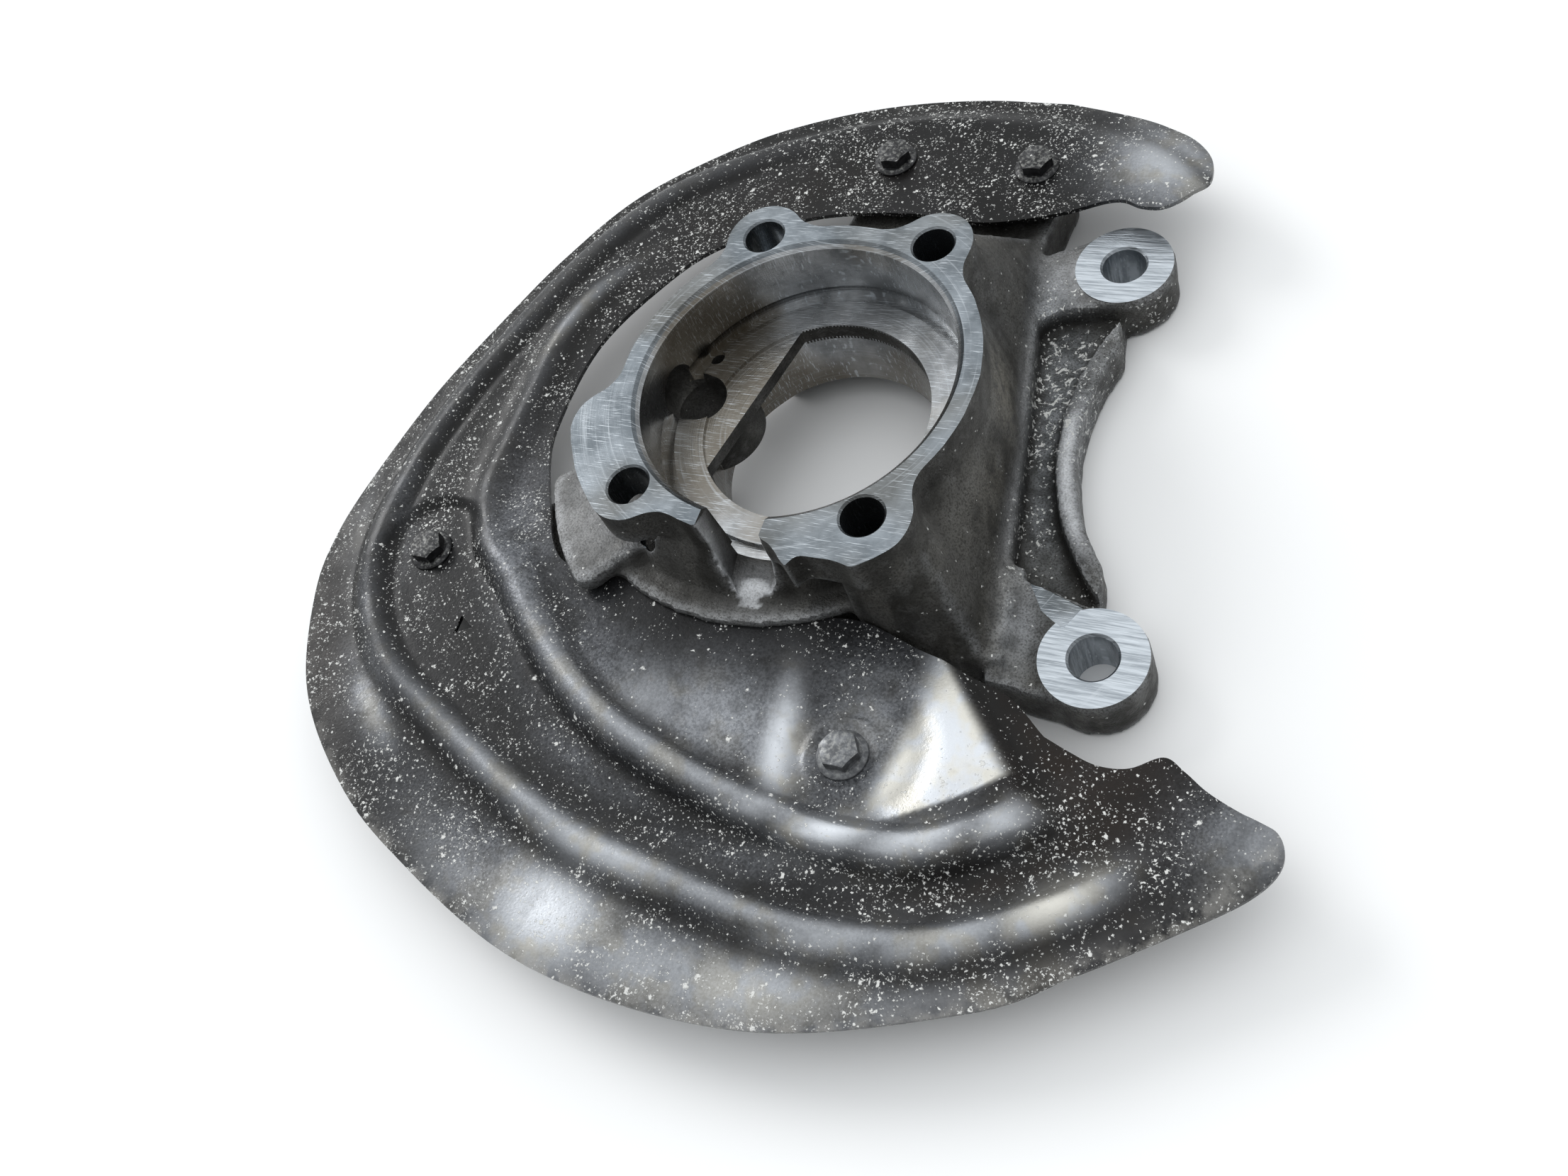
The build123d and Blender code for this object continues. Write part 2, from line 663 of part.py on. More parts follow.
def write_parts():
    os.makedirs("parts", exist_ok=True)
    export_step(make_knuckle(), "parts/knuckle.step")
    export_step(make_shield(), "parts/splash_shield.step")
    for name, (x, y, level) in bolts.items():
        export_step(make_bolt(x, y, level), f"parts/{name}.step")


write_parts()
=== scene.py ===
import math

import bmesh
import bpy
import numpy as np
from mathutils import Matrix, Vector, kdtree, noise


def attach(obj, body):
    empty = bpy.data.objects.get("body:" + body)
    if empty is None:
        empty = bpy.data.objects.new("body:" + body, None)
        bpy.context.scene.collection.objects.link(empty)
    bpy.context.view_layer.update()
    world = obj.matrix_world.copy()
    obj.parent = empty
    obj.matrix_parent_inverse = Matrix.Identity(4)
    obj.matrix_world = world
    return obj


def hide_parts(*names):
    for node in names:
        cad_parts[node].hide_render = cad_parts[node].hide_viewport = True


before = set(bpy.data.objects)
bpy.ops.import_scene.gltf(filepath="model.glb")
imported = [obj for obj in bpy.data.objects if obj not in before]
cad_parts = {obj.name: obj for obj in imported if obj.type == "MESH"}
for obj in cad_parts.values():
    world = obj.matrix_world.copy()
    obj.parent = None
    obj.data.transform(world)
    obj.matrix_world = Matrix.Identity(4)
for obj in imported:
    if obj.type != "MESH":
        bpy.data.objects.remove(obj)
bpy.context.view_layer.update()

# A steering knuckle with its pressed splash shield. Lengths are in millimetres up to the end of
# each piece, which is then scaled to metres. The frame is the CAD model's: the wheel axis is Z,
# and the machined face that the wheel bearing bolts to is at z = 0.
MM = 0.001

# ---- casting: machined features ----
seat_radius = 48.0
seat_chamfer = 2.0
seat_depth = 22.5
seat_groove_depth = 2.0
groove_inner_radius = 45.0
groove_outer_radius = 49.0
groove_top = -19.0
shaft_radius = 35.7
hub_depth = 49.0
bolt_circle = 114.3
bolt_hole_radius = 6.25
bolt_angles = (60.85, 119.15, 230.35, 309.65)
web_chord = 23.2
web_angle = 166.7
web_drop = 1.0
web_thickness = 4.5
web_arc_points = 161
sensor_place = (40.8, 175.4)
sensor_radius = 8.5
scoop_place = (43.3, 175.4)
scoop_radius = 9.2
scoop_lift = 2.0
scoop_fill_radius = 53.0
screw_place = (45.0, 155.2)
screw_radius = 2.65
screw_depth = 12.0
sensor_boss_radius = 15.5
sensor_boss_foot = -41.0
drain_angle = 269.5
# The drain's gates: radius, width at the ring's face, width at the floor, drop of the floor.
drain_gates = ((45.0, 20.0, 15.0, 0.0), (55.4, 20.0, 15.0, 3.5), (62.0, 20.0, 5.0, 6.4))

# ---- casting: caliper bracket and arms ----
caliper_angle = 10.0
caliper_offset = 84.5
caliper_half = 69.05
lug_hole_radius = 6.75
lug_face = -43.0
lug_face_radius = 15.2
lug_face_depth = 6.0
spot_face_radius = 15.8
lug_chamfer = 0.7
hole_chamfer = 0.6
foot_plane = -60.0
joint_top = -41.5
joint_bores = ((10.0, 121.0, 7.0), (2.0, -117.0, 8.0), (-131.0, -28.0, 6.0))
# Ridges along the bracket's inner edge: offset from, offset to, across from, across to, top.
bracket_ridges = ((55.6, 59.0, -45.0, 76.0, -43.0), (55.2, 60.0, -70.8, -42.0, -41.6))
# The pocket's rounded corners: offset, across, radius, and the side that the pad is on.
pocket_corners = ((57.5, 53.5, 11.0, 1), (57.5, -40.0, 7.0, -1))
pocket_top = -44.0
pocket_arc_points = 9
# The rib along the bracket's hollow: bare metal with a painted highlight along its crest.
hollow_centre = (154.4, 0.0)
hollow_radius = 80.0
rib_width = 6.0
rib_low = -49.0
rib_reach = 58.0
rib_narrowing = 2.3
rib_highlight_middle = -8.0
rib_highlight_half = 22.0
rib_fade = 20.0
rib_highlight = 1.2
facet_corners = ((64.8, -44.1), (80.9, -53.3), (75.7, -60.4), (69.0, -54.0))
facet_level = -44.5
# Soft spots of the rough surface, in the caliper's directions: place, half sizes and amount. The tan spots
# are a painted reflection, and the bare spots are bare metal with some painted highlight.
casting_spots = {
    "bare_and_highlight": [(-67, -30, -24.5, 22, 22, 5, 0.26), (62, -58, -44, 5, 16, 5, 0.3),
        (66, 66, -44, 12, 14, 5, 0.35), (-14, -68, -29, 40, 8, 4, 0.16), (57, 0, -43, 3, 60, 4, 0.35)],
    "flecks": [(68, 22, -52, 15, 32, 10, 1.6), (66, 58, -44, 12, 14, 8, 0.9), (84, -52, -52, 14, 12, 10, 0.9),
        (62, -22, -48, 10, 30, 9, 1.0), (92, 58, -50, 12, 16, 10, 0.8), (76, 44, -50, 16, 8, 8, 1.2)],
    "tan_reflection": [(54, 10, -24, 10, 14, 12, 0.9), (60, -58, -44, 6, 16, 8, 0.8), (50, -20, -30, 12, 14, 12, 0.35)],
    "pale": [(67, 10, -52, 13, 46, 10, 1.0), (62, 56, -44, 9, 15, 5, 0.9), (62, -58, -44, 9, 15, 4, 0.9),
        (50, 14, -20, 7, 26, 14, 0.25)],
}
# The drain's wear, with painted light over the shade of its walls and floor: how far past its walls and floor
# it reaches, and how bare and lit they are.
drain_wall_reach = 0.4
drain_floor_reach = 0.5
drain_edge = 0.3
drain_floor_bare_and_lit = 1.3
drain_wall_bare_and_lit = 0.8

# ---- casting: rough surface ----
voxel = 1.35
rise = 4.0
fill_margin = 1.0
fill_foot = -58.0
bolt_fill_foot = -13.0
blend_rounds = 14
blend_steps = (0.6, -0.62)
bend_rounds = 6
# The length and height of the surface's waves, and the bends that count as an edge, worn and painted with a
# highlight, and as a hollow, painted with shade.
waves = ((9.0, 0.22), (3.5, 0.10))
edge_bend = (0.10, 0.55)
hollow_shade_bend = (0.08, 0.45)
# Cutters reach this far past what they cut, or to a far plane.
past = 1.0
far = 200.0
# Faces this near to a machined plane or round are machined.
level_normal = 0.999
plane_reach = 0.01
round_reach = 0.02
bore_reach = 0.3
seat_reach = 1.5
lug_reach = 0.5
mark_margin = 1.0

# ---- shield ----
sheet_thickness = 1.5
rim_level = -38.5
arm_level = -35.5
channel_level = -37.2
plateau_level = -33.0
bead_height = 2.4
bead_width = 8.0
bead_inset = 7.0
groove_inset = 12.5
groove_width = 3.2
groove_depth = 0.9
step_width = 5.0
arm_blend = (96, 40)
# Where these begin and end: the angle and width of both changes.
plateau_span = ((205, 16), (313, 4))
outer_bead_span = ((118, 30), (314.5, 10))
inner_bead_span = ((150, 14), (310, 4))
inner_groove_span = ((236, 14), (310, 4))
arm_rim_radius = 141.0
arm_rim_width = 10.0
# Lines of the sheet as (angle, radius) points: the beads and the edge, in four stretches.
outer_bead = [
    (100, 138), (120, 139.5), (136, 142), (150, 140.5), (165, 140.5), (179, 146), (190, 153), (201, 160),
    (209, 163), (219, 160), (230, 151.5), (241, 147), (258, 146.5), (272, 149), (287, 159), (299, 167),
    (308, 169), (320, 173),
]
inner_bead = [
    (140, 124), (150, 124.5), (162, 123.5), (175, 119), (186, 119), (197, 122), (206, 119), (217, 112),
    (231, 110.5), (249, 113.5), (264, 117.5), (276, 123.5), (284, 129.5), (292, 136.5), (300, 143),
    (310, 144.5),
]
outer_edge = [
    (75, 150.9), (86, 148.6), (98, 147.2), (110, 147), (122, 147.4), (138, 148.3), (152, 146.4),
    (165, 147.3), (178.5, 154.6), (191.5, 165.5), (199, 174), (206, 179.2), (217, 182.9), (228, 181),
    (240, 177.4), (260, 176.6), (281, 177.4), (300, 178.7), (309, 179), (316, 181.2),
]
lower_end = [
    (316, 181.2), (322.7, 184.9), (326.4, 184.3), (328.1, 178), (327.2, 169), (326.6, 160), (326.6, 152),
    (326.3, 145.4), (323, 141.7), (320.7, 135.8), (319.3, 128.5), (318, 121),
]
inner_edge = [
    (318, 121), (317, 104), (309, 84), (300, 69), (289, 63.5), (262, 64), (240, 69), (228, 78),
    (218, 89.4), (206, 91.5), (194, 94.9), (183, 97.4), (164, 100), (147, 100.1), (132, 100.5), (112, 97),
    (92, 93.4), (76.5, 93.3), (67.7, 100.6), (62, 109.7),
]
upper_end = [
    (62, 109.7), (58.5, 117.5), (56, 121.2), (53, 122.9), (50.5, 127.3), (49.6, 135.3), (50.2, 144.1),
    (52.7, 150.5), (56.5, 153.3), (60.5, 153), (65, 152.2), (75, 150.9),
]
# Round ridges pressed into the sheet: (x, y, radius, width, rise).
round_ridges = ((39.9, -98.9, 10.2, 1.5, 0.7), (-87.7, -45.1, 5.5, 1.3, 0.35))
# The dish pressed round the lower bolt: centre, radius of its rim, blend and depth.
dish_place = (43, -97)
dish_radius = 21.0
dish_blend = 9.0
dish_depth = 1.1
# The left bolt's pocket.
pocket_place = (-121.5, -57)
pocket_radius = 18.5
pocket_edge = 4.0
pocket_channel_start = (206, 8)
# Domes and folds: how far they fade, and (angle, radius, half length, half width, rise) of each.
swell_reach = 2.0
swells = ((56, 138, 16, 14, 4.5), (66, 146.5, 20, 6, 2.5), (326, 164, 20, 14, 2),
          (225, 166, 16, 7, 1.1), (262, 165, 30, 9, 0.9), (200, 161, 14, 5, 0.8))
edge_steps = 10
grid_step = 1.25
grid_margin = 3
sheet_reach = 10.0
# Soft patches of the sheet's looks, given like the swells with an amount for the rise. The bare and worn
# patches are partly painted highlight.
patch_reach = 1.4
sheet_patches = {
    "bare_and_highlight": [(282.5, 103, 5.5, 16, 0.95), (259.5, 162, 17, 15, 0.75), (272, 166, 40, 10, 0.34),
        (282, 167, 26, 10, 0.45), (296, 174, 50, 7, 0.16), (250, 168, 26, 8, 0.15),
        (290, 128.5, 14, 5, 0.9), (300, 135.5, 15, 5, 0.7), (309, 139, 8, 5, 0.6), (281, 120, 12, 5, 0.4),
        (310, 162.5, 14, 5, 0.85), (300, 161, 20, 5, 0.45), (289, 155.5, 20, 5, 0.4),
        (262, 141, 26, 5, 0.55), (55.5, 140, 17, 12, 0.55), (327, 176, 14, 8, 0.25),
        (160, 117, 24, 3, 0.25), (224, 162, 14, 4, 0.3), (268, 96, 22, 12, 0.17), (257, 98, 12, 10, 0.25),
        (260, 108, 20, 4, 0.3), (203, 164, 30, 2.5, 0.08), (296, 98, 10, 12, 0.12)],
    "worn_and_highlight": [(258, 160, 56, 15, 0.8), (280, 166, 56, 14, 0.75), (245, 101, 40, 16, 0.75),
        (298, 105, 34, 26, 0.8), (272, 98, 30, 18, 1), (222, 162, 22, 7, 0.8), (254, 120, 26, 7, 0.6),
        (281, 132, 30, 7, 0.45), (326, 172, 18, 14, 0.6), (196, 104, 30, 7, 0.4), (56, 136, 26, 18, 0.7),
        (214, 103, 40, 12, 0.85), (197, 147, 24, 5, 0.35), (211, 159, 18, 3, 0.5), (38, 128, 8, 10, 0.3)],
    "brown": [(318, 135, 26, 34, 0.9), (306, 172, 40, 8, 0.9), (213, 176, 40, 9, 0.5), (305, 150, 30, 8, 0.8),
        (196, 105, 30, 8, 0.4), (120, 110, 60, 14, 0.3)],
    "clean": [(305, 106, 34, 26, 0.95), (264, 90, 56, 28, 1), (240, 100, 28, 18, 0.6),
        (327, 172, 12, 16, 0.6), (56, 140, 18, 14, 0.7), (318, 118, 16, 18, 0.7), (257, 160, 14, 12, 0.5),
        (247, 126, 30, 8, 0.5)],
    "smooth": [(325, 168, 34, 22, 1), (204, 106, 44, 11, 1)],
}
# The plateau's bright fan, bare metal and painted highlight: angle and change where it begins, the radius and
# width of its rise at fan_angle with their change for each degree within fan_span, and the radius and change
# of its end.
fan_begins = (294, 8)
fan_angle = 300.0
fan_rise = (107, 14)
fan_change = (-2, 1.4)
fan_span = (-8, 12)
fan_end = (127.5, 1.8)
# Past this angle the sheet inside the given radius keeps its dark coat, each with its change.
dark_from = (311.5, 2.5)
dark_inside = (133, 4)
# From this angle on the sheet is rubbed more and painted lighter, and its crests carry wear and painted
# highlight: the first amount everywhere, the second there as well.
rubbed_and_lit_from = (230, 40)
crest_bare_and_highlight = (0.03, 0.28)
crest_worn_and_highlight = (0.12, 0.45)
crest_clean = 0.65
lip_worn_and_highlight = (0.25, 0.75)
lip_width = 4.0
# Painted shade lies in the sheet's creases, where it bends this much, measured over a step and averaged over
# neighbours.
crease_shade_step = 2.4
crease_shade_bend = 0.05
crease_shade_rounds = 3
vent_place = (-98.3, -81.0)
vent_side = 6.5

# ---- shield bolts: node, x, y, level of the sheet under the head ----
bolts = {
    "shield_bolt_upper_left": (-14.6, 116.7, arm_level),
    "shield_bolt_upper_right": (35.7, 115.0, arm_level),
    "shield_bolt_left": (-122.7, -57.3, channel_level),
    "shield_bolt_lower": (39.9, -98.9, plateau_level),
}
bolt_gap = 0.1
bolt_hex = 10.0
bolt_head_height = 5.0
bolt_flange_radius = 7.3
bolt_flange_height = 1.4
bolt_shank_radius = 3.0
bolt_shank_length = 18.0
bolt_hole = 6.6
bolt_end_chamfer = 0.6
bolt_overlap = 0.3
bolt_shank_overlap = 0.2
# The head's edge, as steps out from its corners and up from its top, and the flange's edge, as
# steps out from its rim and up from its base.
crown_steps = ((1.0, -1.1), (-0.35, -0.32), (-1.1, 0.0))
flange_steps = ((-0.15, 0.0), (0.0, 0.15), (0.0, 0.55), (-0.2, 0.8))
flange_to_head = 0.2
seat_flat_radius = 11.5
seat_flat_blend = 7.0


# ---- shapes in numbers ----
def polar(radius, angle, z=0.0):
    turn = math.radians(angle)
    return (radius * math.cos(turn), radius * math.sin(turn), z)


def caliper_point(offset, across, z=0.0):
    turn = math.radians(caliper_angle)
    return (offset * math.cos(turn) - across * math.sin(turn),
            offset * math.sin(turn) + across * math.cos(turn), z)


def smooth(x):
    """A step from 0 to 1 as x goes from -0.5 to 0.5, level at both ends."""
    t = np.clip(x + 0.5, 0.0, 1.0)
    return t * t * (3.0 - 2.0 * t)


def begun(value, change):
    """1 well past a change's middle and 0 well before it."""
    middle, width = change
    return smooth((value - middle) / width)


def between(value, start, end):
    """1 between two changes and 0 outside them."""
    return begun(value, start) * (1 - begun(value, end))


def within(value, limit, width):
    """1 well inside a limit and 0 well outside it."""
    return smooth((limit - value) / width)


def ridge(x):
    return np.exp(-2.0 * x * x)


def hermite(t, start, end, start_slope, end_slope):
    """A cubic from start to end with slopes at both, at t from 0 to 1."""
    return ((2 * t**3 - 3 * t**2 + 1) * start + (t**3 - 2 * t**2 + t) * start_slope
            + (3 * t**2 - 2 * t**3) * end + (t**3 - t**2) * end_slope)


def along(points, angle):
    """Radius of a line given by (angle, radius) points, as a smooth curve through them."""
    a, r = np.array(points, float).T
    slopes = np.gradient(r, a)
    slopes[1:-1] = (r[2:] - r[:-2]) / (a[2:] - a[:-2])
    angle = np.clip(angle, a[0], a[-1])
    i = np.clip(np.searchsorted(a, angle) - 1, 0, len(a) - 2)
    span = a[i + 1] - a[i]
    return hermite((angle - a[i]) / span, r[i], r[i + 1], span * slopes[i], span * slopes[i + 1])


def curve_through(points, steps):
    """Points of a smooth curve through (angle, radius) points, without the last one."""
    known = np.array([polar(radius, angle)[:2] for angle, radius in points])
    slopes = np.gradient(known, axis=0)
    return [hermite(k / steps, known[i], known[i + 1], slopes[i], slopes[i + 1])
            for i in range(len(known) - 1) for k in range(steps)]


def distance(x, y, place):
    return np.hypot(x - place[0], y - place[1])


bolt_hole_places = [polar(bolt_circle / 2, angle)[:2] for angle in bolt_angles]
lug_places = [caliper_point(caliper_offset, side * caliper_half)[:2] for side in (1, -1)]


def shield_parts(x, y):
    """Angle and radius of points of the sheet's plan, its beads' radii there and their crests."""
    angle = np.degrees(np.arctan2(y, x)) % 360.0
    radius = np.hypot(x, y)
    outer = along(outer_bead, angle)
    inner = along(inner_bead, angle)
    outer_crest, inner_crest = (
        between(angle, *span) * ridge((radius - line + bead_inset) / bead_width)
        for line, span in ((outer, outer_bead_span), (inner, inner_bead_span)))
    return angle, radius, outer, inner, outer_crest, inner_crest


def soft_spot(angle, radius, spot, reach):
    """How much a spot (angle, radius, half length, half width, amount) lies on points of the sheet."""
    at_angle, at_radius, half_length, half_width, amount = spot
    turn = (angle - at_angle + 180.0) % 360.0 - 180.0
    round_it = np.radians(turn) * at_radius / half_length
    return amount * ridge(np.hypot(round_it, (radius - at_radius) / half_width) / reach)


def shield_height(x, y):
    """Height of the shield's outer face over points of its plan."""
    angle, radius, outer, inner, outer_crest, inner_crest = shield_parts(x, y)
    raised = between(angle, *plateau_span)
    past_arm = begun(angle, arm_blend)
    inside_inner = within(radius, inner, step_width)
    in_pocket = within(distance(x, y, pocket_place), pocket_radius, pocket_edge)
    in_channel = np.maximum(begun(angle, pocket_channel_start), in_pocket)
    middle = arm_level + (channel_level - arm_level) * in_channel
    height = rim_level + (middle - rim_level) * within(radius, outer, step_width) * past_arm
    height += (arm_level - rim_level) * within(radius, arm_rim_radius, arm_rim_width) * (1 - past_arm)
    height += (plateau_level - middle) * raised * inside_inner
    height += bead_height * (outer_crest + inner_crest)
    for line, span in ((outer, outer_bead_span), (inner, inner_groove_span)):
        across = (radius - line + groove_inset) / groove_width
        height -= groove_depth * between(angle, *span) * ridge(across)
    in_dish = within(distance(x, y, dish_place), dish_radius, dish_blend)
    height += dish_depth * (1 - in_dish) * raised * inside_inner
    for bx, by, level in bolts.values():
        away = distance(x, y, (bx, by))
        height += (level - height) * smooth(0.5 - (away - seat_flat_radius) / seat_flat_blend)
    for rx, ry, ring, width, lift in round_ridges:
        height += lift * ridge((distance(x, y, (rx, ry)) - ring) / width)
    for spot in swells:
        height += soft_spot(angle, radius, spot, swell_reach)
    return height


def inside(outline, x, y):
    """Whether plan points lie inside an outline."""
    found = np.zeros(x.shape, bool)
    for (x0, y0), (x1, y1) in zip(outline, np.roll(outline, -1, axis=0)):
        crosses = (y0 > y) != (y1 > y)
        if y0 != y1:
            found ^= crosses & (x < (x1 - x0) * (y - y0) / (y1 - y0) + x0)
    return found


# ---- mesh helpers ----
def new_object(name, data):
    """An object in the scene with the given data."""
    obj = bpy.data.objects.new(name, data)
    bpy.context.scene.collection.objects.link(obj)
    return obj


def mesh_object(name, points, faces):
    mesh = bpy.data.meshes.new(name)
    mesh.from_pydata([tuple(p) for p in points], [], faces)
    return new_object(name, mesh)


def outward(obj):
    """Turns a closed shape's faces outward."""
    shape = bmesh.new()
    shape.from_mesh(obj.data)
    bmesh.ops.triangulate(shape, faces=[f for f in shape.faces if len(f.verts) > 4])
    bmesh.ops.recalc_face_normals(shape, faces=shape.faces)
    shape.to_mesh(obj.data)
    shape.free()
    return obj


def loft(rings):
    """A closed solid through rings with as many points each."""
    count, points = len(rings[0]), [point for ring in rings for point in ring]
    faces = [tuple(range(count)), tuple(range(len(points) - count, len(points)))]
    for g in range(0, len(points) - count, count):
        for i in range(count):
            after = (i + 1) % count
            faces.append((g + i, g + after, g + count + after, g + count + i))
    return outward(mesh_object("tool", points, faces))


def prism(outline, low, high):
    """An upright prism on a plan outline."""
    return loft([[(x, y, z) for x, y in outline] for z in (low, high)])


def lathe(profile, x, y, segments, ends=None):
    """A closed solid turned from (radius, z) points, with its ends on the axis at given heights."""
    first, last = ends or (profile[0][1], profile[-1][1])
    turns = [2 * math.pi * k / segments for k in range(segments)]
    points = [(x, y, first)]
    points += [(x + radius * math.cos(turn), y + radius * math.sin(turn), z)
               for radius, z in profile for turn in turns]
    points.append((x, y, last))
    faces = []
    for k in range(segments):
        after = (k + 1) % segments
        faces.append((0, 1 + k, 1 + after))
        for a in range(1, len(points) - 1 - segments, segments):
            faces.append((a + k, a + segments + k, a + segments + after, a + after))
        outer = len(points) - 1 - segments
        faces.append((outer + k, len(points) - 1, outer + after))
    return outward(mesh_object("tool", points, faces))


def caliper_prism(corners, low, high):
    """A prism on an outline given in the caliper's directions."""
    return prism([caliper_point(u, v)[:2] for u, v in corners], low, high)


def rod(x, y, low, high, radius, segments=64):
    return lathe([(radius, low), (radius, high)], x, y, segments)


def apply_modifiers(obj):
    """Puts the result of an object's modifiers into its mesh."""
    shown = obj.evaluated_get(bpy.context.evaluated_depsgraph_get())
    mesh = bpy.data.meshes.new_from_object(shown)
    old = obj.data
    obj.modifiers.clear()
    obj.data = mesh
    bpy.data.meshes.remove(old)


def combine(obj, tools, operation):
    """Adds, cuts away or keeps what is common with each tool in turn, and removes the tools."""
    for tool in tools:
        modifier = obj.modifiers.new("combine", "BOOLEAN")
        modifier.operation = operation
        modifier.solver = "MANIFOLD"
        modifier.object = tool
        apply_modifiers(obj)
        bpy.data.objects.remove(tool)


def join(obj, others):
    """Puts other objects' meshes into an object's own, and removes them."""
    shape = bmesh.new()
    for source in [obj] + others:
        shape.from_mesh(source.data)
    shape.to_mesh(obj.data)
    shape.free()
    for other in others:
        bpy.data.objects.remove(other)


def rows(items, name, width, kind=float):
    """What all items of a mesh hold under a name, as rows of numbers."""
    values = np.empty(len(items) * width, kind)
    items.foreach_get(name, values)
    return values.reshape(-1, width)


def points_of(mesh):
    return rows(mesh.vertices, "co", 3)


def put_points(mesh, co):
    mesh.vertices.foreach_set("co", co.ravel())
    mesh.update()


def averaged(co, ends, rounds=1):
    """Each point's mean over its neighbours, taken so many times over."""
    neighbours = np.maximum(np.bincount(ends.ravel(), minlength=len(co)), 1)
    for _ in range(rounds):
        total = np.empty_like(co)
        for axis in range(co.shape[1]):
            total[:, axis] = (np.bincount(ends[:, 0], co[ends[:, 1], axis], len(co))
                              + np.bincount(ends[:, 1], co[ends[:, 0], axis], len(co)))
        co = total / neighbours[:, None]
    return co


def blended(co, ends):
    """Rounds corners without shrinking the whole, by a step forward and a step back each round."""
    for _ in range(blend_rounds):
        for step in blend_steps:
            co = co + step * (averaged(co, ends) - co)
    return co


def set_values(mesh, name, values):
    """A value for each vertex, for the materials to read."""
    layer = mesh.attributes.new(name, "FLOAT", "POINT")
    layer.data.foreach_set("value", np.clip(values, 0.0, 1.0).astype(np.float32))


def finish_mesh(obj, materials, sharp_angle):
    """Scales a piece to metres and shades it smooth, with edges past the angle kept sharp."""
    mesh = obj.data
    put_points(mesh, points_of(mesh) * MM)
    kinds = rows(mesh.polygons, "material_index", 1, np.int32)[:, 0]
    mesh.materials.clear()
    for material in materials:
        mesh.materials.append(material)
    mesh.polygons.foreach_set("material_index", np.minimum(kinds, len(materials) - 1))
    mesh.shade_smooth()
    mesh.set_sharp_from_angle(angle=math.radians(sharp_angle))
    return obj


# ---- shield ----
def make_shield():
    """A grid over the plan, raised to the sheet's height, cut to its outline and drilled."""
    outline = np.array([point for line in (outer_edge, lower_end, inner_edge, upper_end)
                        for point in curve_through(line, edge_steps)])
    margin = (grid_margin + 1) * grid_step
    x, y = (np.arange(side.min() - margin, side.max() + margin, grid_step) for side in outline.T)
    gx, gy = np.meshgrid(x, y, indexing="ij")
    wanted = inside(outline, gx, gy)
    for _ in range(grid_margin):
        wanted = np.any([wanted] + [np.roll(wanted, by, axis) for by in (1, -1) for axis in (0, 1)], axis=0)
    corners = ((0, 0), (1, 0), (1, 1), (0, 1))
    cell = np.all([np.roll(wanted, (-a, -b), (0, 1)) for a, b in corners], axis=0)
    used = np.any([np.roll(cell, corner, (0, 1)) for corner in corners], axis=0)
    index = np.cumsum(used).reshape(used.shape) - 1
    count = int(used.sum())
    top = np.column_stack([gx[used], gy[used], shield_height(gx[used], gy[used])])
    under = top - (0, 0, sheet_thickness)
    i, j = np.nonzero(cell)
    quads = np.column_stack([index[i + a, j + b] for a, b in corners]).tolist()
    sides = [side for q in quads for side in zip(q, q[1:] + q[:1])]
    known = set(sides)
    faces = quads + [[c + count for c in q[::-1]] for q in quads]
    faces += [(b, a, a + count, b + count) for a, b in sides if (b, a) not in known]
    sheet = mesh_object("splash_shield_sheet", np.vstack([top, under]), faces)

    low, high = rim_level - sheet_reach, plateau_level + sheet_reach
    combine(sheet, [prism(outline, low, high)], "INTERSECT")
    holes = [rod(x, y, low, high, bolt_hole / 2) for x, y, _ in bolts.values()]
    corner = vent_side / math.sqrt(3)
    vent = [np.add(vent_place, polar(corner, angle)[:2]) for angle in (0, 120, 240)]
    holes.append(prism(vent, low, high))
    combine(sheet, holes, "DIFFERENCE")
    shade_shield(sheet.data)
    return sheet


def fan_at(angle, radius):
    """The plateau's bright fan, bare metal and painted highlight, which ends at once at its outer side."""
    turned_by = np.clip(angle - fan_angle, *fan_span)
    middle = fan_rise[0] + fan_change[0] * turned_by
    width = fan_rise[1] + fan_change[1] * np.maximum(turned_by, 0)
    return begun(angle, fan_begins) * begun(radius, (middle, width)) * within(radius, *fan_end)


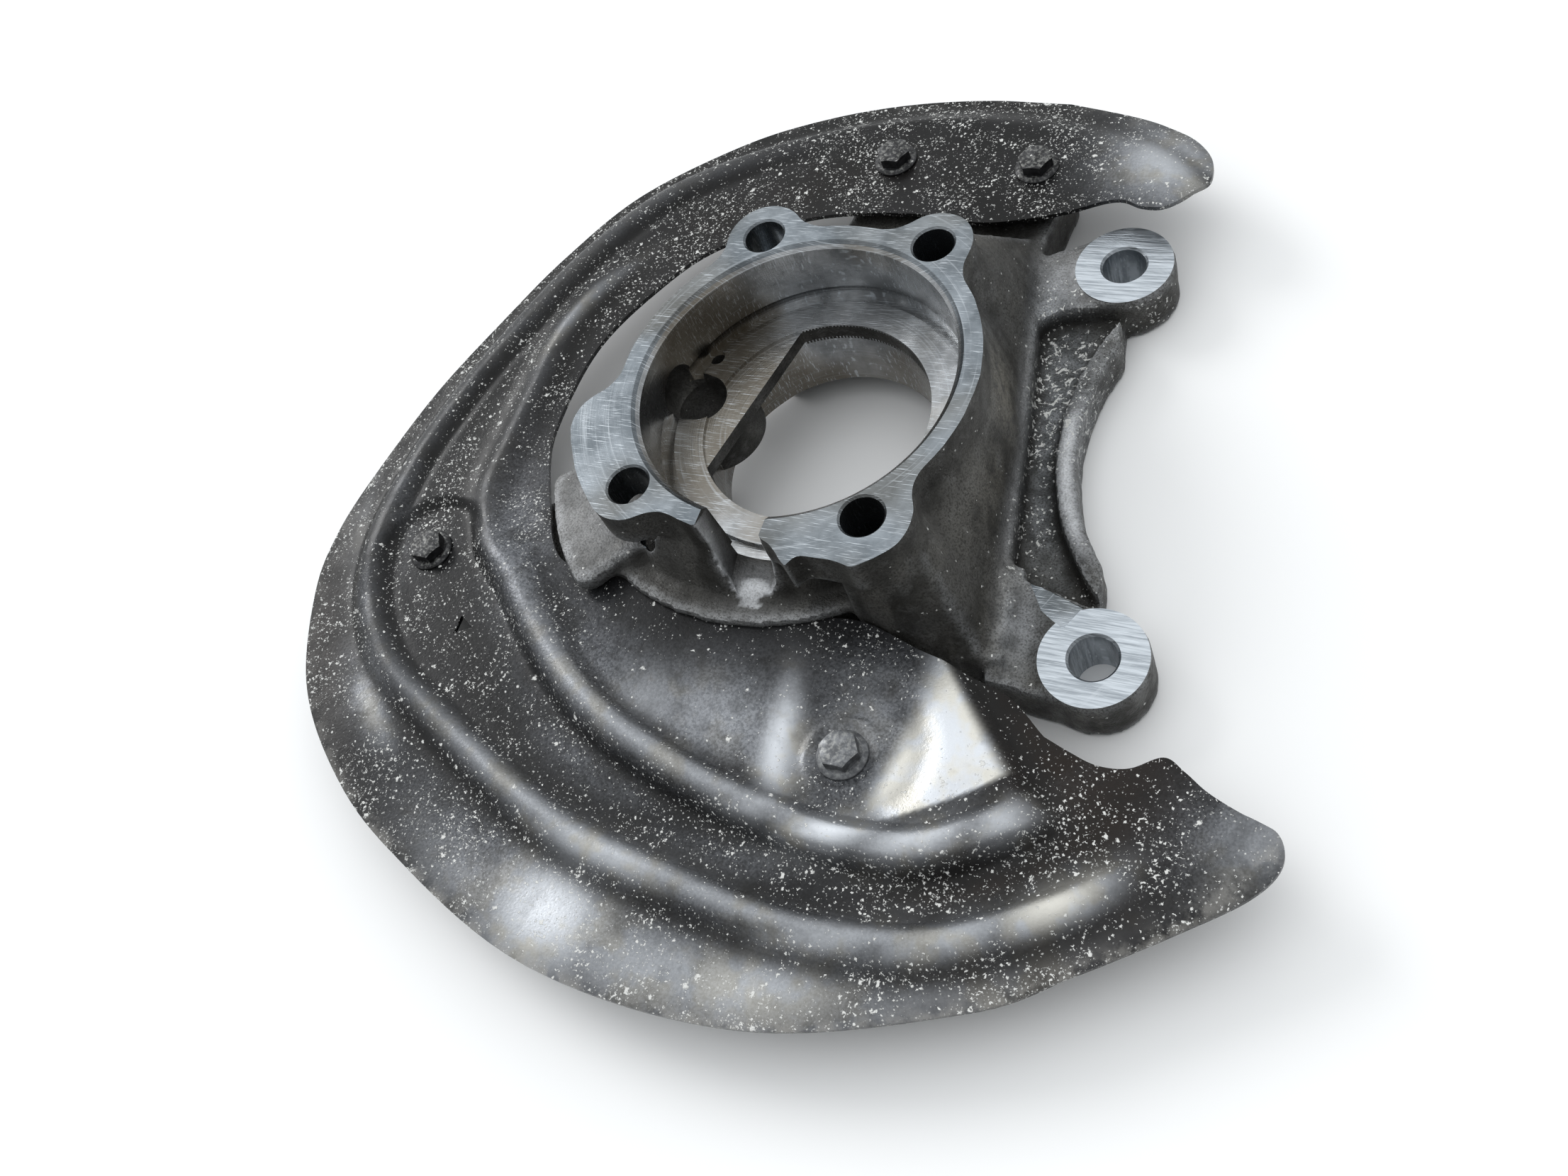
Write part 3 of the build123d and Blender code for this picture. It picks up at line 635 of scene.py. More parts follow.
def shade_shield(mesh):
    """Where the sheet is rubbed bare and worn grey, both partly painted highlight, painted with shade in its
    creases, brown and speckled with oxide.
    """
    co = points_of(mesh)
    x, y = co[:, 0], co[:, 1]
    angle, radius, _, _, outer_crest, inner_crest = shield_parts(x, y)
    crest = np.maximum(outer_crest, inner_crest)
    rubbed_and_lit = begun(angle, rubbed_and_lit_from)
    uncoated = 1 - begun(angle, dark_from) * within(radius, *dark_inside)

    patches = {kind: np.max([soft_spot(angle, radius, spot, patch_reach) for spot in spots], axis=0)
               for kind, spots in sheet_patches.items()}
    # Bare metal and worn grey, both partly painted highlight: from the patches, the fan and the beads'
    # crests.
    bare_and_highlight = np.maximum(patches["bare_and_highlight"], crest**3 * (crest_bare_and_highlight[0] + crest_bare_and_highlight[1] * rubbed_and_lit))
    set_values(mesh, "bare_and_highlight", np.maximum(bare_and_highlight, fan_at(angle, radius)**2) * uncoated)
    worn_and_highlight = np.maximum(patches["worn_and_highlight"], crest * (crest_worn_and_highlight[0] + crest_worn_and_highlight[1] * rubbed_and_lit))
    set_values(mesh, "worn_and_highlight", worn_and_highlight * uncoated)

    # Painted shade in the sheet's creases, where its surface is concave, kept off the bolt's dish and the
    # smooth patches.
    around = sum(shield_height(x + a * crease_shade_step, y + b * crease_shade_step)
                 for a, b in ((1, 0), (-1, 0), (0, 1), (0, -1)))
    bend = (around - 4 * shield_height(x, y)) / crease_shade_step**2
    by_bolt = ridge(distance(x, y, dish_place) / (dish_radius + dish_blend))
    even = np.maximum(by_bolt, patches["smooth"])
    crease_shade = (np.clip(bend / crease_shade_bend, 0, 1) * (1 - even))[:, None]
    set_values(mesh, "crease_shade", averaged(crease_shade, rows(mesh.edges, "vertices", 2, int), crease_shade_rounds)[:, 0])
    set_values(mesh, "brown", patches["brown"])
    # Wear along the sheet's outer rim, with a painted highlight along it.
    to_edge = along(outer_edge, angle) - radius
    set_values(mesh, "lip_wear_and_highlight", ridge(to_edge / lip_width) * (lip_worn_and_highlight[0] + lip_worn_and_highlight[1] * rubbed_and_lit))
    set_values(mesh, "specks", 1.0 - np.maximum(patches["clean"], crest_clean * crest))


# ---- casting ----
def raised_copy(source):
    """A slab on the casting's top face, from below that face to above it."""
    shape = bmesh.new()
    shape.from_mesh(source.data)
    others = [f for f in shape.faces
              if f.normal.z <= level_normal or abs(f.calc_center_median().z) >= plane_reach]
    bmesh.ops.delete(shape, geom=others, context="FACES")
    bmesh.ops.remove_doubles(shape, verts=shape.verts, dist=1e-4)
    for v in shape.verts:
        v.co.z = -rise / 2
    result = bmesh.ops.extrude_face_region(shape, geom=list(shape.faces), use_keep_orig=True)
    for v in [g for g in result["geom"] if isinstance(g, bmesh.types.BMVert)]:
        v.co.z = rise
    bmesh.ops.recalc_face_normals(shape, faces=shape.faces)
    mesh = bpy.data.meshes.new("raised")
    shape.to_mesh(mesh)
    shape.free()
    return new_object("raised", mesh)


def make_rough_casting():
    """The casting before machining: every machined hollow is filled and its faces stand proud."""
    body = new_object("knuckle_casting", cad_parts["knuckle"].data.copy())
    put_points(body.data, points_of(body.data) / MM)
    fills = [raised_copy(body), rod(0, 0, -hub_depth, rise, scoop_fill_radius)]
    fills += [rod(x, y, bolt_fill_foot, rise, bolt_hole_radius + fill_margin)
              for x, y in bolt_hole_places]
    fills += [rod(x, y, foot_plane, lug_face - fill_margin, lug_hole_radius + fill_margin)
              for x, y in lug_places]
    for near, far_side, first, last, high in bracket_ridges:
        corners = [(near, first), (far_side, first), (far_side, last), (near, last)]
        fills.append(caliper_prism(corners, fill_foot, high))
    for offset, across, radius, side in pocket_corners:
        arc = [(offset + radius * (1 - math.sin(t)), across - side * radius * (1 - math.cos(t)))
               for t in np.linspace(0, math.pi / 2, pocket_arc_points)]
        corners = [(offset - 1, across + side), (offset + radius, across + side)] + arc
        corners.append((offset - 1, across - side * radius))
        fills.append(caliper_prism(corners, fill_foot, pocket_top))
    join(body, fills)
    remesh = body.modifiers.new("remesh", "REMESH")
    remesh.mode = "VOXEL"
    remesh.voxel_size = voxel
    apply_modifiers(body)
    mesh = body.data
    ends = rows(mesh.edges, "vertices", 2, int)
    co = blended(points_of(mesh), ends)
    put_points(mesh, co)
    normals = rows(mesh.vertex_normals, "vector", 3)
    wave = np.array([sum(noise.noise(Vector(p) / size) * high for size, high in waves) for p in co])
    put_points(mesh, co + normals * wave[:, None])
    bend = ((averaged(co, ends, bend_rounds) - co) * normals).sum(axis=1)
    return body, co, bend


def seat_cutter():
    floor, above = -seat_depth, rise + past
    groove = floor - seat_groove_depth
    mouth = seat_radius + seat_chamfer
    profile = [(groove_inner_radius, floor), (groove_inner_radius, groove), (groove_outer_radius, groove),
               (groove_outer_radius, groove_top), (seat_radius, groove_top), (seat_radius, -seat_chamfer),
               (mouth, 0), (mouth, above)]
    return lathe(profile, 0, 0, 256)


def opening_cutters():
    """The drive shaft's opening: round below the web, part closed at the web."""
    web_top = -seat_depth - web_drop
    web_low = web_top - web_thickness
    below = rod(0, 0, foot_plane - past, web_low, shaft_radius, 200)
    boss = rod(*polar(*sensor_place)[:2], sensor_boss_foot, 0, sensor_boss_radius, 96)
    combine(below, [boss], "DIFFERENCE")
    step = rod(0, 0, web_top, past - seat_depth, shaft_radius, 200)
    half = math.degrees(math.acos(web_chord / shaft_radius))
    arc = [polar(shaft_radius, angle)[:2]
           for angle in np.linspace(web_angle + half, web_angle + 360 - half, web_arc_points)]
    return [below, step, prism(arc, web_low - past, web_top + web_drop / 2)]


def sphere(x, y, z, radius, steps=24):
    turns = [math.pi * k / steps for k in range(1, steps)]
    profile = [(radius * math.sin(turn), z - radius * math.cos(turn)) for turn in turns]
    return lathe(profile, x, y, 2 * steps, (z - radius, z + radius))


def drain_cutter():
    """The channel that leads out through the ring, narrower at its floor and towards its end."""
    above = rise + past
    rings = []
    for radius, width, floor_width, drop in drain_gates:
        out = np.array(polar(radius, drain_angle))
        low = -seat_depth - drop
        corners = ((-floor_width, low), (floor_width, low), (width, 0), (width, above), (-width, above),
                   (-width, 0))
        rings.append([out + polar(across / 2, drain_angle + 90, z) for across, z in corners])
    return loft(rings)


def hole_cutter(x, y, high, radius, chamfer):
    """A hole drilled right through, with a small chamfer at its mouth."""
    low, above, mouth = foot_plane - past, high + rise + past, radius + chamfer
    return lathe([(radius, low), (radius, high - chamfer), (mouth, high), (mouth, above)], x, y, 64)


def make_casting():
    body, rough_points, bend = make_rough_casting()
    low = lug_face - lug_face_depth
    combine(body, [rod(x, y, low, lug_face, lug_face_radius, 96) for x, y in lug_places], "UNION")
    square = [(-far, -far), (far, -far), (far, far), (-far, far)]
    cutters = [prism(square, 0, far), prism(square, -far, foot_plane), seat_cutter()]
    cutters += opening_cutters()
    over_floor = past - seat_depth
    cutters.append(rod(*polar(*sensor_place)[:2], foot_plane - past, over_floor, sensor_radius))
    cutters.append(sphere(*polar(*scoop_place, scoop_lift - seat_depth), scoop_radius))
    screw_foot = -seat_depth - screw_depth
    cutters.append(rod(*polar(*screw_place)[:2], screw_foot, over_floor, screw_radius, 40))
    cutters += [hole_cutter(x, y, 0, bolt_hole_radius, hole_chamfer) for x, y in bolt_hole_places]
    for x, y in lug_places:
        cutters.append(rod(x, y, lug_face, lug_face + rise + past, spot_face_radius, 96))
        cutters.append(hole_cutter(x, y, lug_face, lug_hole_radius, lug_chamfer))
    cutters += [rod(x, y, foot_plane - past, joint_top, radius) for x, y, radius in joint_bores]
    cutters.append(caliper_prism(facet_corners, facet_level, facet_level + rise + past))
    cutters.append(drain_cutter())
    combine(body, cutters, "DIFFERENCE")
    mark_machined(body.data)
    shade_casting(body.data, rough_points, bend)
    return body


def mark_machined(mesh):
    """Gives the machined faces the second material, by where they are."""
    x, y, z = rows(mesh.polygons, "center", 3).T
    radius = np.hypot(x, y)
    flat = rows(mesh.polygons, "normal", 3)[:, 2] > level_normal
    on_face, on_lug, on_facet = (flat & (np.abs(z - height) < plane_reach)
                                 for height in (0, lug_face, facet_level))
    machined = on_face | on_facet
    in_seat = (radius < groove_outer_radius + seat_reach) & (z < plane_reach)
    machined |= in_seat & (z > -seat_depth - seat_groove_depth - plane_reach)
    below_web = z < -seat_depth - web_drop - web_thickness - round_reach
    machined |= (np.abs(radius - shaft_radius) < bore_reach) & below_web & (z > mark_margin - hub_depth)
    for place in bolt_hole_places:
        machined |= distance(x, y, place) < bolt_hole_radius + hole_chamfer + round_reach
    for place in lug_places:
        away = distance(x, y, place)
        machined |= away < lug_hole_radius + lug_chamfer + round_reach
        machined |= on_lug & (away < spot_face_radius)
    to_scoop = np.hypot(distance(x, y, polar(*scoop_place)), z + seat_depth - scoop_lift)
    machined &= to_scoop >= scoop_radius + round_reach
    mesh.polygons.foreach_set("material_index", machined.astype(np.int32))
    mesh.update()


def turned(co, angle):
    """How far points lie along a direction of the plan, and how far across it."""
    turn = math.radians(angle)
    return (co[:, 0] * math.cos(turn) + co[:, 1] * math.sin(turn),
            co[:, 1] * math.cos(turn) - co[:, 0] * math.sin(turn))


def drain_bare_and_lit(co):
    """How bare points are that lie on the walls or the floor of the drain, painted lighter over their shade.
    """
    out, across = turned(co, drain_angle)
    across, z = np.abs(across), co[:, 2]
    gates = np.array(drain_gates).T
    width, floor_width, drop = (np.interp(out, gates[0], values) for values in gates[1:])
    depth = seat_depth + drop
    wall = (floor_width + (width - floor_width) * np.clip(1 + z / depth, 0, 1)) / 2
    inside_it = (out > groove_outer_radius) & (out < gates[0, -1]) & (across < wall + drain_wall_reach)
    inside_it &= (z < -drain_edge) & (z > -depth - drain_floor_reach)
    return inside_it * np.where(across < floor_width / 2 - drain_edge, drain_floor_bare_and_lit, drain_wall_bare_and_lit)


def rib_bare_and_highlight(co):
    """How bare points are that lie on the rib along the bracket's hollow, with a painted highlight along its
    crest.
    """
    crest = distance(co[:, 0], co[:, 1], caliper_point(*hollow_centre)) - hollow_radius - rib_width / 2
    side = np.abs(turned(co, caliper_angle)[1] - rib_highlight_middle)
    on_rib = ridge(crest * rib_narrowing / rib_width) * (co[:, 2] > rib_low) * (np.abs(co[:, 1]) < rib_reach)
    return rib_highlight * on_rib * (1 - smooth((side - rib_highlight_half) / rib_fade))


def shade_casting(mesh, rough_points, bend):
    """Where the rough surface is rubbed and painted with a highlight at edges, painted with shade in hollows,
    bare with some painted light, or flecked with white.
    """
    tree = kdtree.KDTree(len(rough_points))
    for i, point in enumerate(rough_points):
        tree.insert(point, i)
    tree.balance()
    co = points_of(mesh)
    here = bend[[tree.find(point)[1] for point in co]]
    # Convex bends are edges, worn and painted with a highlight; concave bends are hollows, painted with
    # shade.
    for name, value, (least, reach) in (("edge_wear_and_highlight", -here, edge_bend), ("hollow_shade", here, hollow_shade_bend)):
        set_values(mesh, name, (value - least) / reach)
    for name, spots in casting_spots.items():
        total = np.maximum(rib_bare_and_highlight(co), drain_bare_and_lit(co)) if name == "bare_and_highlight" else np.zeros(len(co))
        for u, v, z, half_u, half_v, half_z, amount in spots:
            away = co - caliper_point(u, v, z)
            out, side = turned(away, caliper_angle)
            reach = np.sqrt((out / half_u)**2 + (side / half_v)**2 + (away[:, 2] / half_z)**2)
            total = np.maximum(total, amount * ridge(reach / patch_reach))
        set_values(mesh, name, total)
    on_lug = [distance(co[:, 0], co[:, 1], place) < lug_face_radius + lug_reach for place in lug_places]
    set_values(mesh, "lug", np.any(on_lug, axis=0).astype(float))


# ---- bolts ----
def make_bolt(name, x, y, level):
    """A hexagon bolt with its own flange; the head's edges are eased."""
    base = level + bolt_gap
    top = base + bolt_head_height
    end = base - bolt_shank_length
    corner = bolt_hex / math.sqrt(3)
    hexagon = [np.add((x, y), polar(corner, angle)[:2]) for angle in range(0, 360, 60)]
    head = prism(hexagon, base + bolt_overlap, top)
    head.name = name
    crown = [(corner + out, top + up) for out, up in crown_steps]
    combine(head, [lathe([(crown[0][0], base)] + crown, x, y, 64)], "INTERSECT")
    flange = [(bolt_flange_radius + out, base + up) for out, up in flange_steps]
    flange.append((corner + flange_to_head, base + bolt_flange_height))
    shank = [(bolt_shank_radius - bolt_end_chamfer, end), (bolt_shank_radius, end + bolt_end_chamfer),
             (bolt_shank_radius, base + bolt_shank_overlap)]
    combine(head, [lathe(flange, x, y, 96), lathe(shank, x, y, 48)], "UNION")
    return head


# ---- material helpers ----
class Nodes:
    """The nodes of a material or world. Each method adds some and returns an output."""

    def __init__(self, owner, coordinates="Object"):
        self.owner = owner
        owner.use_nodes = True
        self.tree = owner.node_tree
        self.place = self.add("TexCoord").outputs[coordinates]

    def feed(self, node, inputs):
        """Links or sets a node's inputs, given by name or number."""
        for key, value in inputs.items():
            if isinstance(value, bpy.types.NodeSocket):
                self.tree.links.new(value, node.inputs[key])
            else:
                node.inputs[key].default_value = value

    def add(self, kind, inputs=None, **settings):
        node = self.tree.nodes.new("ShaderNode" + kind)
        for key, value in settings.items():
            setattr(node, key, value)
        self.feed(node, inputs or {})
        return node

    def noise(self, scale, detail, roughness, distortion=0.0, place=None, output="Fac"):
        inputs = {"Vector": place or self.place, "Scale": scale, "Detail": detail, "Roughness": roughness,
                  "Distortion": distortion}
        return self.add("TexNoise", inputs).outputs[output]

    def math(self, operation, a, b, clamp=False):
        return self.add("Math", {0: a, 1: b}, operation=operation, use_clamp=clamp).outputs[0]

    def times(self, a, b):
        return self.math("MULTIPLY", a, b)

    def most(self, a, b):
        return self.math("MAXIMUM", a, b)

    def vector(self, operation, a, b, output="Vector"):
        return self.add("VectorMath", {0: a, 1: b}, operation=operation).outputs[output]

    def parts(self, vector):
        """A vector's X, Y and Z."""
        return self.add("SeparateXYZ", {0: vector}).outputs

    def span(self, value, low, high, first=0.0, last=1.0):
        """Maps low..high to first..last smoothly, and keeps within them."""
        inputs = {"Value": value, "From Min": low, "From Max": high, "To Min": first, "To Max": last}
        return self.add("MapRange", inputs, interpolation_type="SMOOTHSTEP").outputs["Result"]

    def mix(self, share, a, b):
        """Between colours a and b."""
        return self.add("Mix", {0: share, 6: rgba(a), 7: rgba(b)}, data_type="RGBA").outputs[2]

    def blend(self, share, a, b):
        """Between numbers a and b."""
        return self.add("Mix", {0: share, 2: a, 3: b}, data_type="FLOAT").outputs[0]

    def tone(self, value, low, high, pair):
        """From a pair's first colour at low to its second at high."""
        return self.mix(self.span(value, low, high), *pair)

    def coats(self, colour, *coats):
        """Colours laid over one another, each with its share."""
        for share, coat in coats:
            colour = self.mix(share, colour, coat)
        return colour

    def value(self, name):
        """A value that the mesh holds for each vertex."""
        return self.add("Attribute", attribute_name=name).outputs["Fac"]

    def stretched(self, scale, turn):
        inputs = {"Vector": self.place, "Rotation": (0, 0, math.radians(turn)), "Scale": scale}
        return self.add("Mapping", inputs).outputs["Vector"]

    def specks(self, scale, size, amount):
        """Irregular specks: 1 inside them and 0 outside. Size is a share of their spacing."""
        warp = self.noise(scale * 2.2, 2.0, 0.6, output="Color")
        inputs = {0: warp, 1: (1.0 / scale,) * 3, 2: self.place}
        shift = self.add("VectorMath", inputs, operation="MULTIPLY_ADD").outputs[0]
        cells = self.add("TexVoronoi", {"Vector": shift, "Scale": scale}).outputs
        pick = self.add("SeparateColor", {0: cells["Color"]}).outputs
        chosen = self.math("LESS_THAN", pick[0], amount)
        inputs = {0: self.times(pick[1], pick[1]), 1: size, 2: size * 0.35}
        reach = self.add("Math", inputs, operation="MULTIPLY_ADD").outputs[0]
        return self.times(chosen, self.span(cells["Distance"], self.times(reach, 0.6), reach, 1.0, 0.0))

    def shreds(self, noise, amount, none, full):
        """Ragged flakes, by the noise where they begin and end at no amount and at full amount."""
        return self.span(noise, self.blend(amount, none[0], full[0]), self.blend(amount, none[1], full[1]))

    def bumps(self, *bumps):
        """Bumps laid over one another, each a height with its distance and strength."""
        last = {}
        for height, distance, strength in bumps:
            inputs = {"Height": height, "Distance": distance, "Strength": strength}
            last = {"Normal": self.add("Bump", inputs | last).outputs["Normal"]}
        return last

    def finish(self, colour, roughness, metallic, *bumps, **constants):
        """Feeds the shader and returns the material. Constants are set on its sockets by name."""
        shader = self.tree.nodes["Principled BSDF"]
        inputs = {"Base Color": rgba(colour), "Roughness": roughness, "Metallic": metallic}
        self.feed(shader, inputs | constants | self.bumps(*bumps))
        return self.owner


def rgba(colour):
    return colour if isinstance(colour, bpy.types.NodeSocket) else (*colour, 1.0)


# ---- materials ----
# Colours; a pair holds the two ends of a mottle.
cast_skin = ((0.022, 0.021, 0.018), (0.082, 0.080, 0.074))
# A painted tan reflection.
cast_tan_reflection = (0.25, 0.23, 0.185)
cast_grey = (0.14, 0.14, 0.135)
cast_streak = (0.15, 0.145, 0.13)
# Worn edges with a painted highlight.
cast_edge_wear_and_highlight = (0.36, 0.37, 0.38)
cast_pale = ((0.105, 0.112, 0.118), (0.23, 0.242, 0.255))
cast_pit = (0.02, 0.018, 0.015)
# Bare metal, partly painted highlight.
cast_bare_and_highlight = ((0.60, 0.61, 0.63), (0.13, 0.13, 0.125))
# Painted shade in the casting's hollows.
cast_hollow_shade = (0.014, 0.013, 0.011)
cast_oxide = (0.62, 0.62, 0.60)
face_metal = ((0.105, 0.120, 0.133), (0.25, 0.275, 0.298))
face_stain = (0.10, 0.09, 0.072)
face_marks = (0.66, 0.70, 0.74)
face_rings = (0.48, 0.51, 0.54)
seat_metal = ((0.20, 0.206, 0.212), (0.46, 0.47, 0.48))
seat_stain = (0.24, 0.20, 0.145)
lug_metal = ((0.26, 0.285, 0.31), (0.47, 0.505, 0.54))
sheet_coat = ((0.004, 0.0038, 0.0037), (0.0105, 0.0104, 0.011))
sheet_brown = (0.014, 0.0092, 0.0063)
# Worn grey, partly painted highlight.
sheet_worn_and_highlight = ((0.065, 0.069, 0.077), (0.185, 0.192, 0.207))
# Bare metal, partly painted highlight.
sheet_bare_and_highlight = ((0.56, 0.58, 0.61), (0.56, 0.545, 0.50))
# Painted shade in the sheet's creases.
sheet_crease_shade = (0.008, 0.0075, 0.007)
# Worn rim with a painted highlight.
sheet_lip_wear_and_highlight = (0.30, 0.29, 0.27)
sheet_oxide = (0.66, 0.66, 0.64)
bolt_black = ((0.01, 0.01, 0.011), (0.04, 0.04, 0.043))
bolt_grey = ((0.085, 0.088, 0.094), (0.20, 0.206, 0.215))
bolt_dust = (0.30, 0.30, 0.28)
bolt_oxide = (0.5, 0.5, 0.48)
floor_white = (0.87, 0.87, 0.87)


def new_material(name):
    return Nodes(bpy.data.materials.new(name))


def cast_material():
    s = new_material("cast_aluminium_rough")
    mottle = s.noise(190.0, 5.0, 0.62)
    grit = s.noise(1500.0, 4.0, 0.65)
    streaks = s.noise(1.0, 3.0, 0.55, place=s.stretched((150, 26, 30), caliper_angle))
    # The casting's convex edges, worn and painted with a highlight, varied by the mottle.
    worn_and_highlight = s.times(s.value("edge_wear_and_highlight"), s.span(mottle, 0.3, 0.6, 0.35, 1.0))
    # Bare metal, partly painted light: the rib's highlight, the drain lit over its shade and the pads' edges.
    bare_and_highlight = s.times(s.value("bare_and_highlight"), s.span(mottle, 0.25, 0.50, 0.6, 1.0))
    pits = s.span(grit, 0.36, 0.56, 0.75, 0.0)
    amount = s.value("flecks")
    shreds = s.shreds(s.noise(450.0, 4.0, 0.66, 0.7), amount, (0.72, 0.74), (0.560, 0.595))
    specks = s.specks(900.0, 0.36, s.math("ADD", s.times(amount, 0.4), 0.03))
    colour = s.coats(
        s.tone(s.noise(40.0, 4.0, 0.55), 0.38, 0.62, cast_skin),
        # A painted tan reflection on the flank and pads.
        (s.times(s.value("tan_reflection"), s.span(mottle, 0.3, 0.6)), cast_tan_reflection),
        (s.span(mottle, 0.48, 0.75, 0.0, 0.55), cast_grey),
        (s.span(streaks, 0.50, 0.72, 0.0, 0.45), cast_streak),
        (s.times(worn_and_highlight, 0.5), cast_edge_wear_and_highlight),
        (s.value("pale"), s.tone(mottle, 0.35, 0.65, cast_pale)),
        (pits, cast_pit),
        (bare_and_highlight, s.mix(s.times(pits, 0.5), *cast_bare_and_highlight)),
        # Painted shade in the casting's hollows.
        (s.times(s.value("hollow_shade"), 0.8), cast_hollow_shade),
        (s.most(s.times(shreds, s.span(amount, 0.05, 0.3)), specks), cast_oxide))
    rough = s.blend(bare_and_highlight, s.span(mottle, 0.3, 0.7, 0.60, 0.42), 0.38)
    return s.finish(colour, rough, s.blend(bare_and_highlight, 0.5, 0.35),
        (grit, 0.0004, 0.7), (s.noise(600.0, 3.0, 0.6), 0.0006, 0.5))


def machined_material():
    """Turned rings round the wheel axis, scratches both ways, and milling on the lugs."""
    s = new_material("cast_aluminium_machined")
    x, y, z = s.parts(s.place)
    radius = s.vector("LENGTH", s.vector("MULTIPLY", s.place, (1, 1, 0)), (0, 0, 0), "Value")
    turning = {"X": s.times(x, 22.0), "Y": s.times(y, 22.0), "Z": s.times(s.math("ADD", radius, z), 1100.0)}
    rings = s.noise(1.0, 3.0, 0.6, place=s.add("CombineXYZ", turning).outputs[0])
    stains = s.noise(55.0, 5.0, 0.62)
    clouds = s.noise(16.0, 3.0, 0.5)
    one_way = s.noise(1.0, 2.0, 0.5, place=s.stretched((120, 3600, 300), 35))
    other_way = s.noise(1.0, 2.0, 0.5, place=s.stretched((160, 4200, 300), -50))
    milled = s.noise(1.0, 3.0, 0.6, place=s.stretched((60, 1500, 100), 62))
    lug = s.value("lug")
    in_seat = s.times(s.math("LESS_THAN", z, -mark_margin * MM),
                      s.math("LESS_THAN", radius, (groove_outer_radius + seat_reach) * MM))
    seat = s.coats(s.tone(stains, 0.35, 0.7, seat_metal), (s.span(clouds, 0.45, 0.6, 0.0, 0.6), seat_stain))
    marks = s.most(s.span(one_way, 0.60, 0.70), s.span(other_way, 0.62, 0.72))
    colour = s.coats(
        s.tone(stains, 0.35, 0.7, face_metal),
        (in_seat, seat),
        (s.span(clouds, 0.45, 0.62, 0.0, 0.55), face_stain),
        (lug, s.tone(milled, 0.35, 0.65, lug_metal)),
        (s.times(marks, 0.55), face_marks),
        (s.span(rings, 0.55, 0.75, 0.0, 0.35), face_rings))
    rough = s.blend(lug, s.span(stains, 0.3, 0.7, 0.32, 0.20), 0.28)
    return s.finish(colour, rough, 0.95, (rings, 0.00015, 0.3),
        (s.math("ADD", one_way, other_way), 0.00012, 0.35), (s.times(milled, lug), 0.0004, 0.4))


def sheet_material():
    s = new_material("shield_sheet_weathered")
    mottle = s.noise(150.0, 5.0, 0.62)
    fine = s.noise(1300.0, 3.0, 0.6)
    # Worn grey and bare metal, both partly painted highlight on the crests, the dome and the plateau's fan.
    worn_and_highlight = s.times(s.value("worn_and_highlight"), s.span(mottle, 0.30, 0.58, 0.45, 1.0))
    bare_and_highlight = s.math("MULTIPLY", s.value("bare_and_highlight"), s.span(mottle, 0.28, 0.52, 0.88, 1.08), clamp=True)
    clumps = s.span(s.noise(60.0, 3.0, 0.6), 0.34, 0.60, 0.25, 1.0)
    amount = s.times(clumps, s.value("specks"))
    # The rim's wear and painted highlight.
    lip_wear_and_highlight = s.times(s.value("lip_wear_and_highlight"), s.span(mottle, 0.42, 0.60))
    flakes = s.noise(820.0, 3.0, 0.62, 0.6)
    shreds = s.times(s.shreds(flakes, amount, (0.72, 0.74), (0.600, 0.635)), s.span(amount, 0.02, 0.2))
    large = s.specks(380.0, 0.28, s.times(amount, 0.32))
    small = s.specks(860.0, 0.34, s.times(amount, 0.62))
    tiny = s.specks(1400.0, 0.40, s.math("ADD", s.times(amount, 0.55), s.times(lip_wear_and_highlight, 0.7)))
    spots = s.most(s.most(large, small), s.most(s.times(tiny, 0.6), shreds))
    colour = s.coats(
        s.tone(s.noise(38.0, 4.0, 0.55), 0.35, 0.65, sheet_coat),
        (s.times(s.value("brown"), s.span(mottle, 0.3, 0.6, 0.5, 1.0)), sheet_brown),
        (worn_and_highlight, s.tone(fine, 0.35, 0.65, sheet_worn_and_highlight)),
        (bare_and_highlight, s.tone(s.noise(70.0, 3.0, 0.6), 0.47, 0.62, sheet_bare_and_highlight)),
        # Painted shade in the sheet's creases.
        (s.times(s.value("crease_shade"), s.blend(bare_and_highlight, 0.9, 0.8)), sheet_crease_shade),
        (s.times(lip_wear_and_highlight, 0.4), sheet_lip_wear_and_highlight),
        (s.times(spots, 0.92), sheet_oxide))
    rough = s.blend(bare_and_highlight, s.span(mottle, 0.3, 0.7, 0.36, 0.24), 0.31)
    metallic = s.blend(bare_and_highlight, s.blend(worn_and_highlight, 0.1, 0.6), 0.9)
    return s.finish(colour, s.blend(spots, rough, 0.8), s.blend(spots, metallic, 0.0),
        (fine, 0.0002, 0.3), (mottle, 0.0005, 0.2), (spots, 0.0003, 0.5),
        **{"Specular IOR Level": 0.16})


def bolt_material(name, coating):
    """A coated bolt with dust lying on its upward faces."""
    s = new_material(name)
    upward = s.span(s.parts(s.add("NewGeometry").outputs["Normal"])["Z"], 0.6, 0.95)
    grain = s.noise(450.0, 4.0, 0.62)
    dust = s.times(upward, s.span(s.noise(900.0, 3.0, 0.6), 0.45, 0.70, 0.0, 0.5))
    colour = s.coats(
        s.tone(grain, 0.35, 0.7, coating), (dust, bolt_dust),
        (s.specks(800.0, 0.34, s.times(upward, 0.12)), bolt_oxide))
    return s.finish(colour, s.span(grain, 0.3, 0.7, 0.55, 0.36), 0.5, (grain, 0.0002, 0.4))


# ---- stage, light and camera ----
# The camera was fitted to the photo: its place in metres and its directions.
camera_place = (0.18830, -0.22613, 0.31703)
camera_right = (0.89423, 0.32808, -0.30455)
camera_up = (-0.14351, 0.85454, 0.49921)
photo_width = 2212
focal_pixels = 2105.06
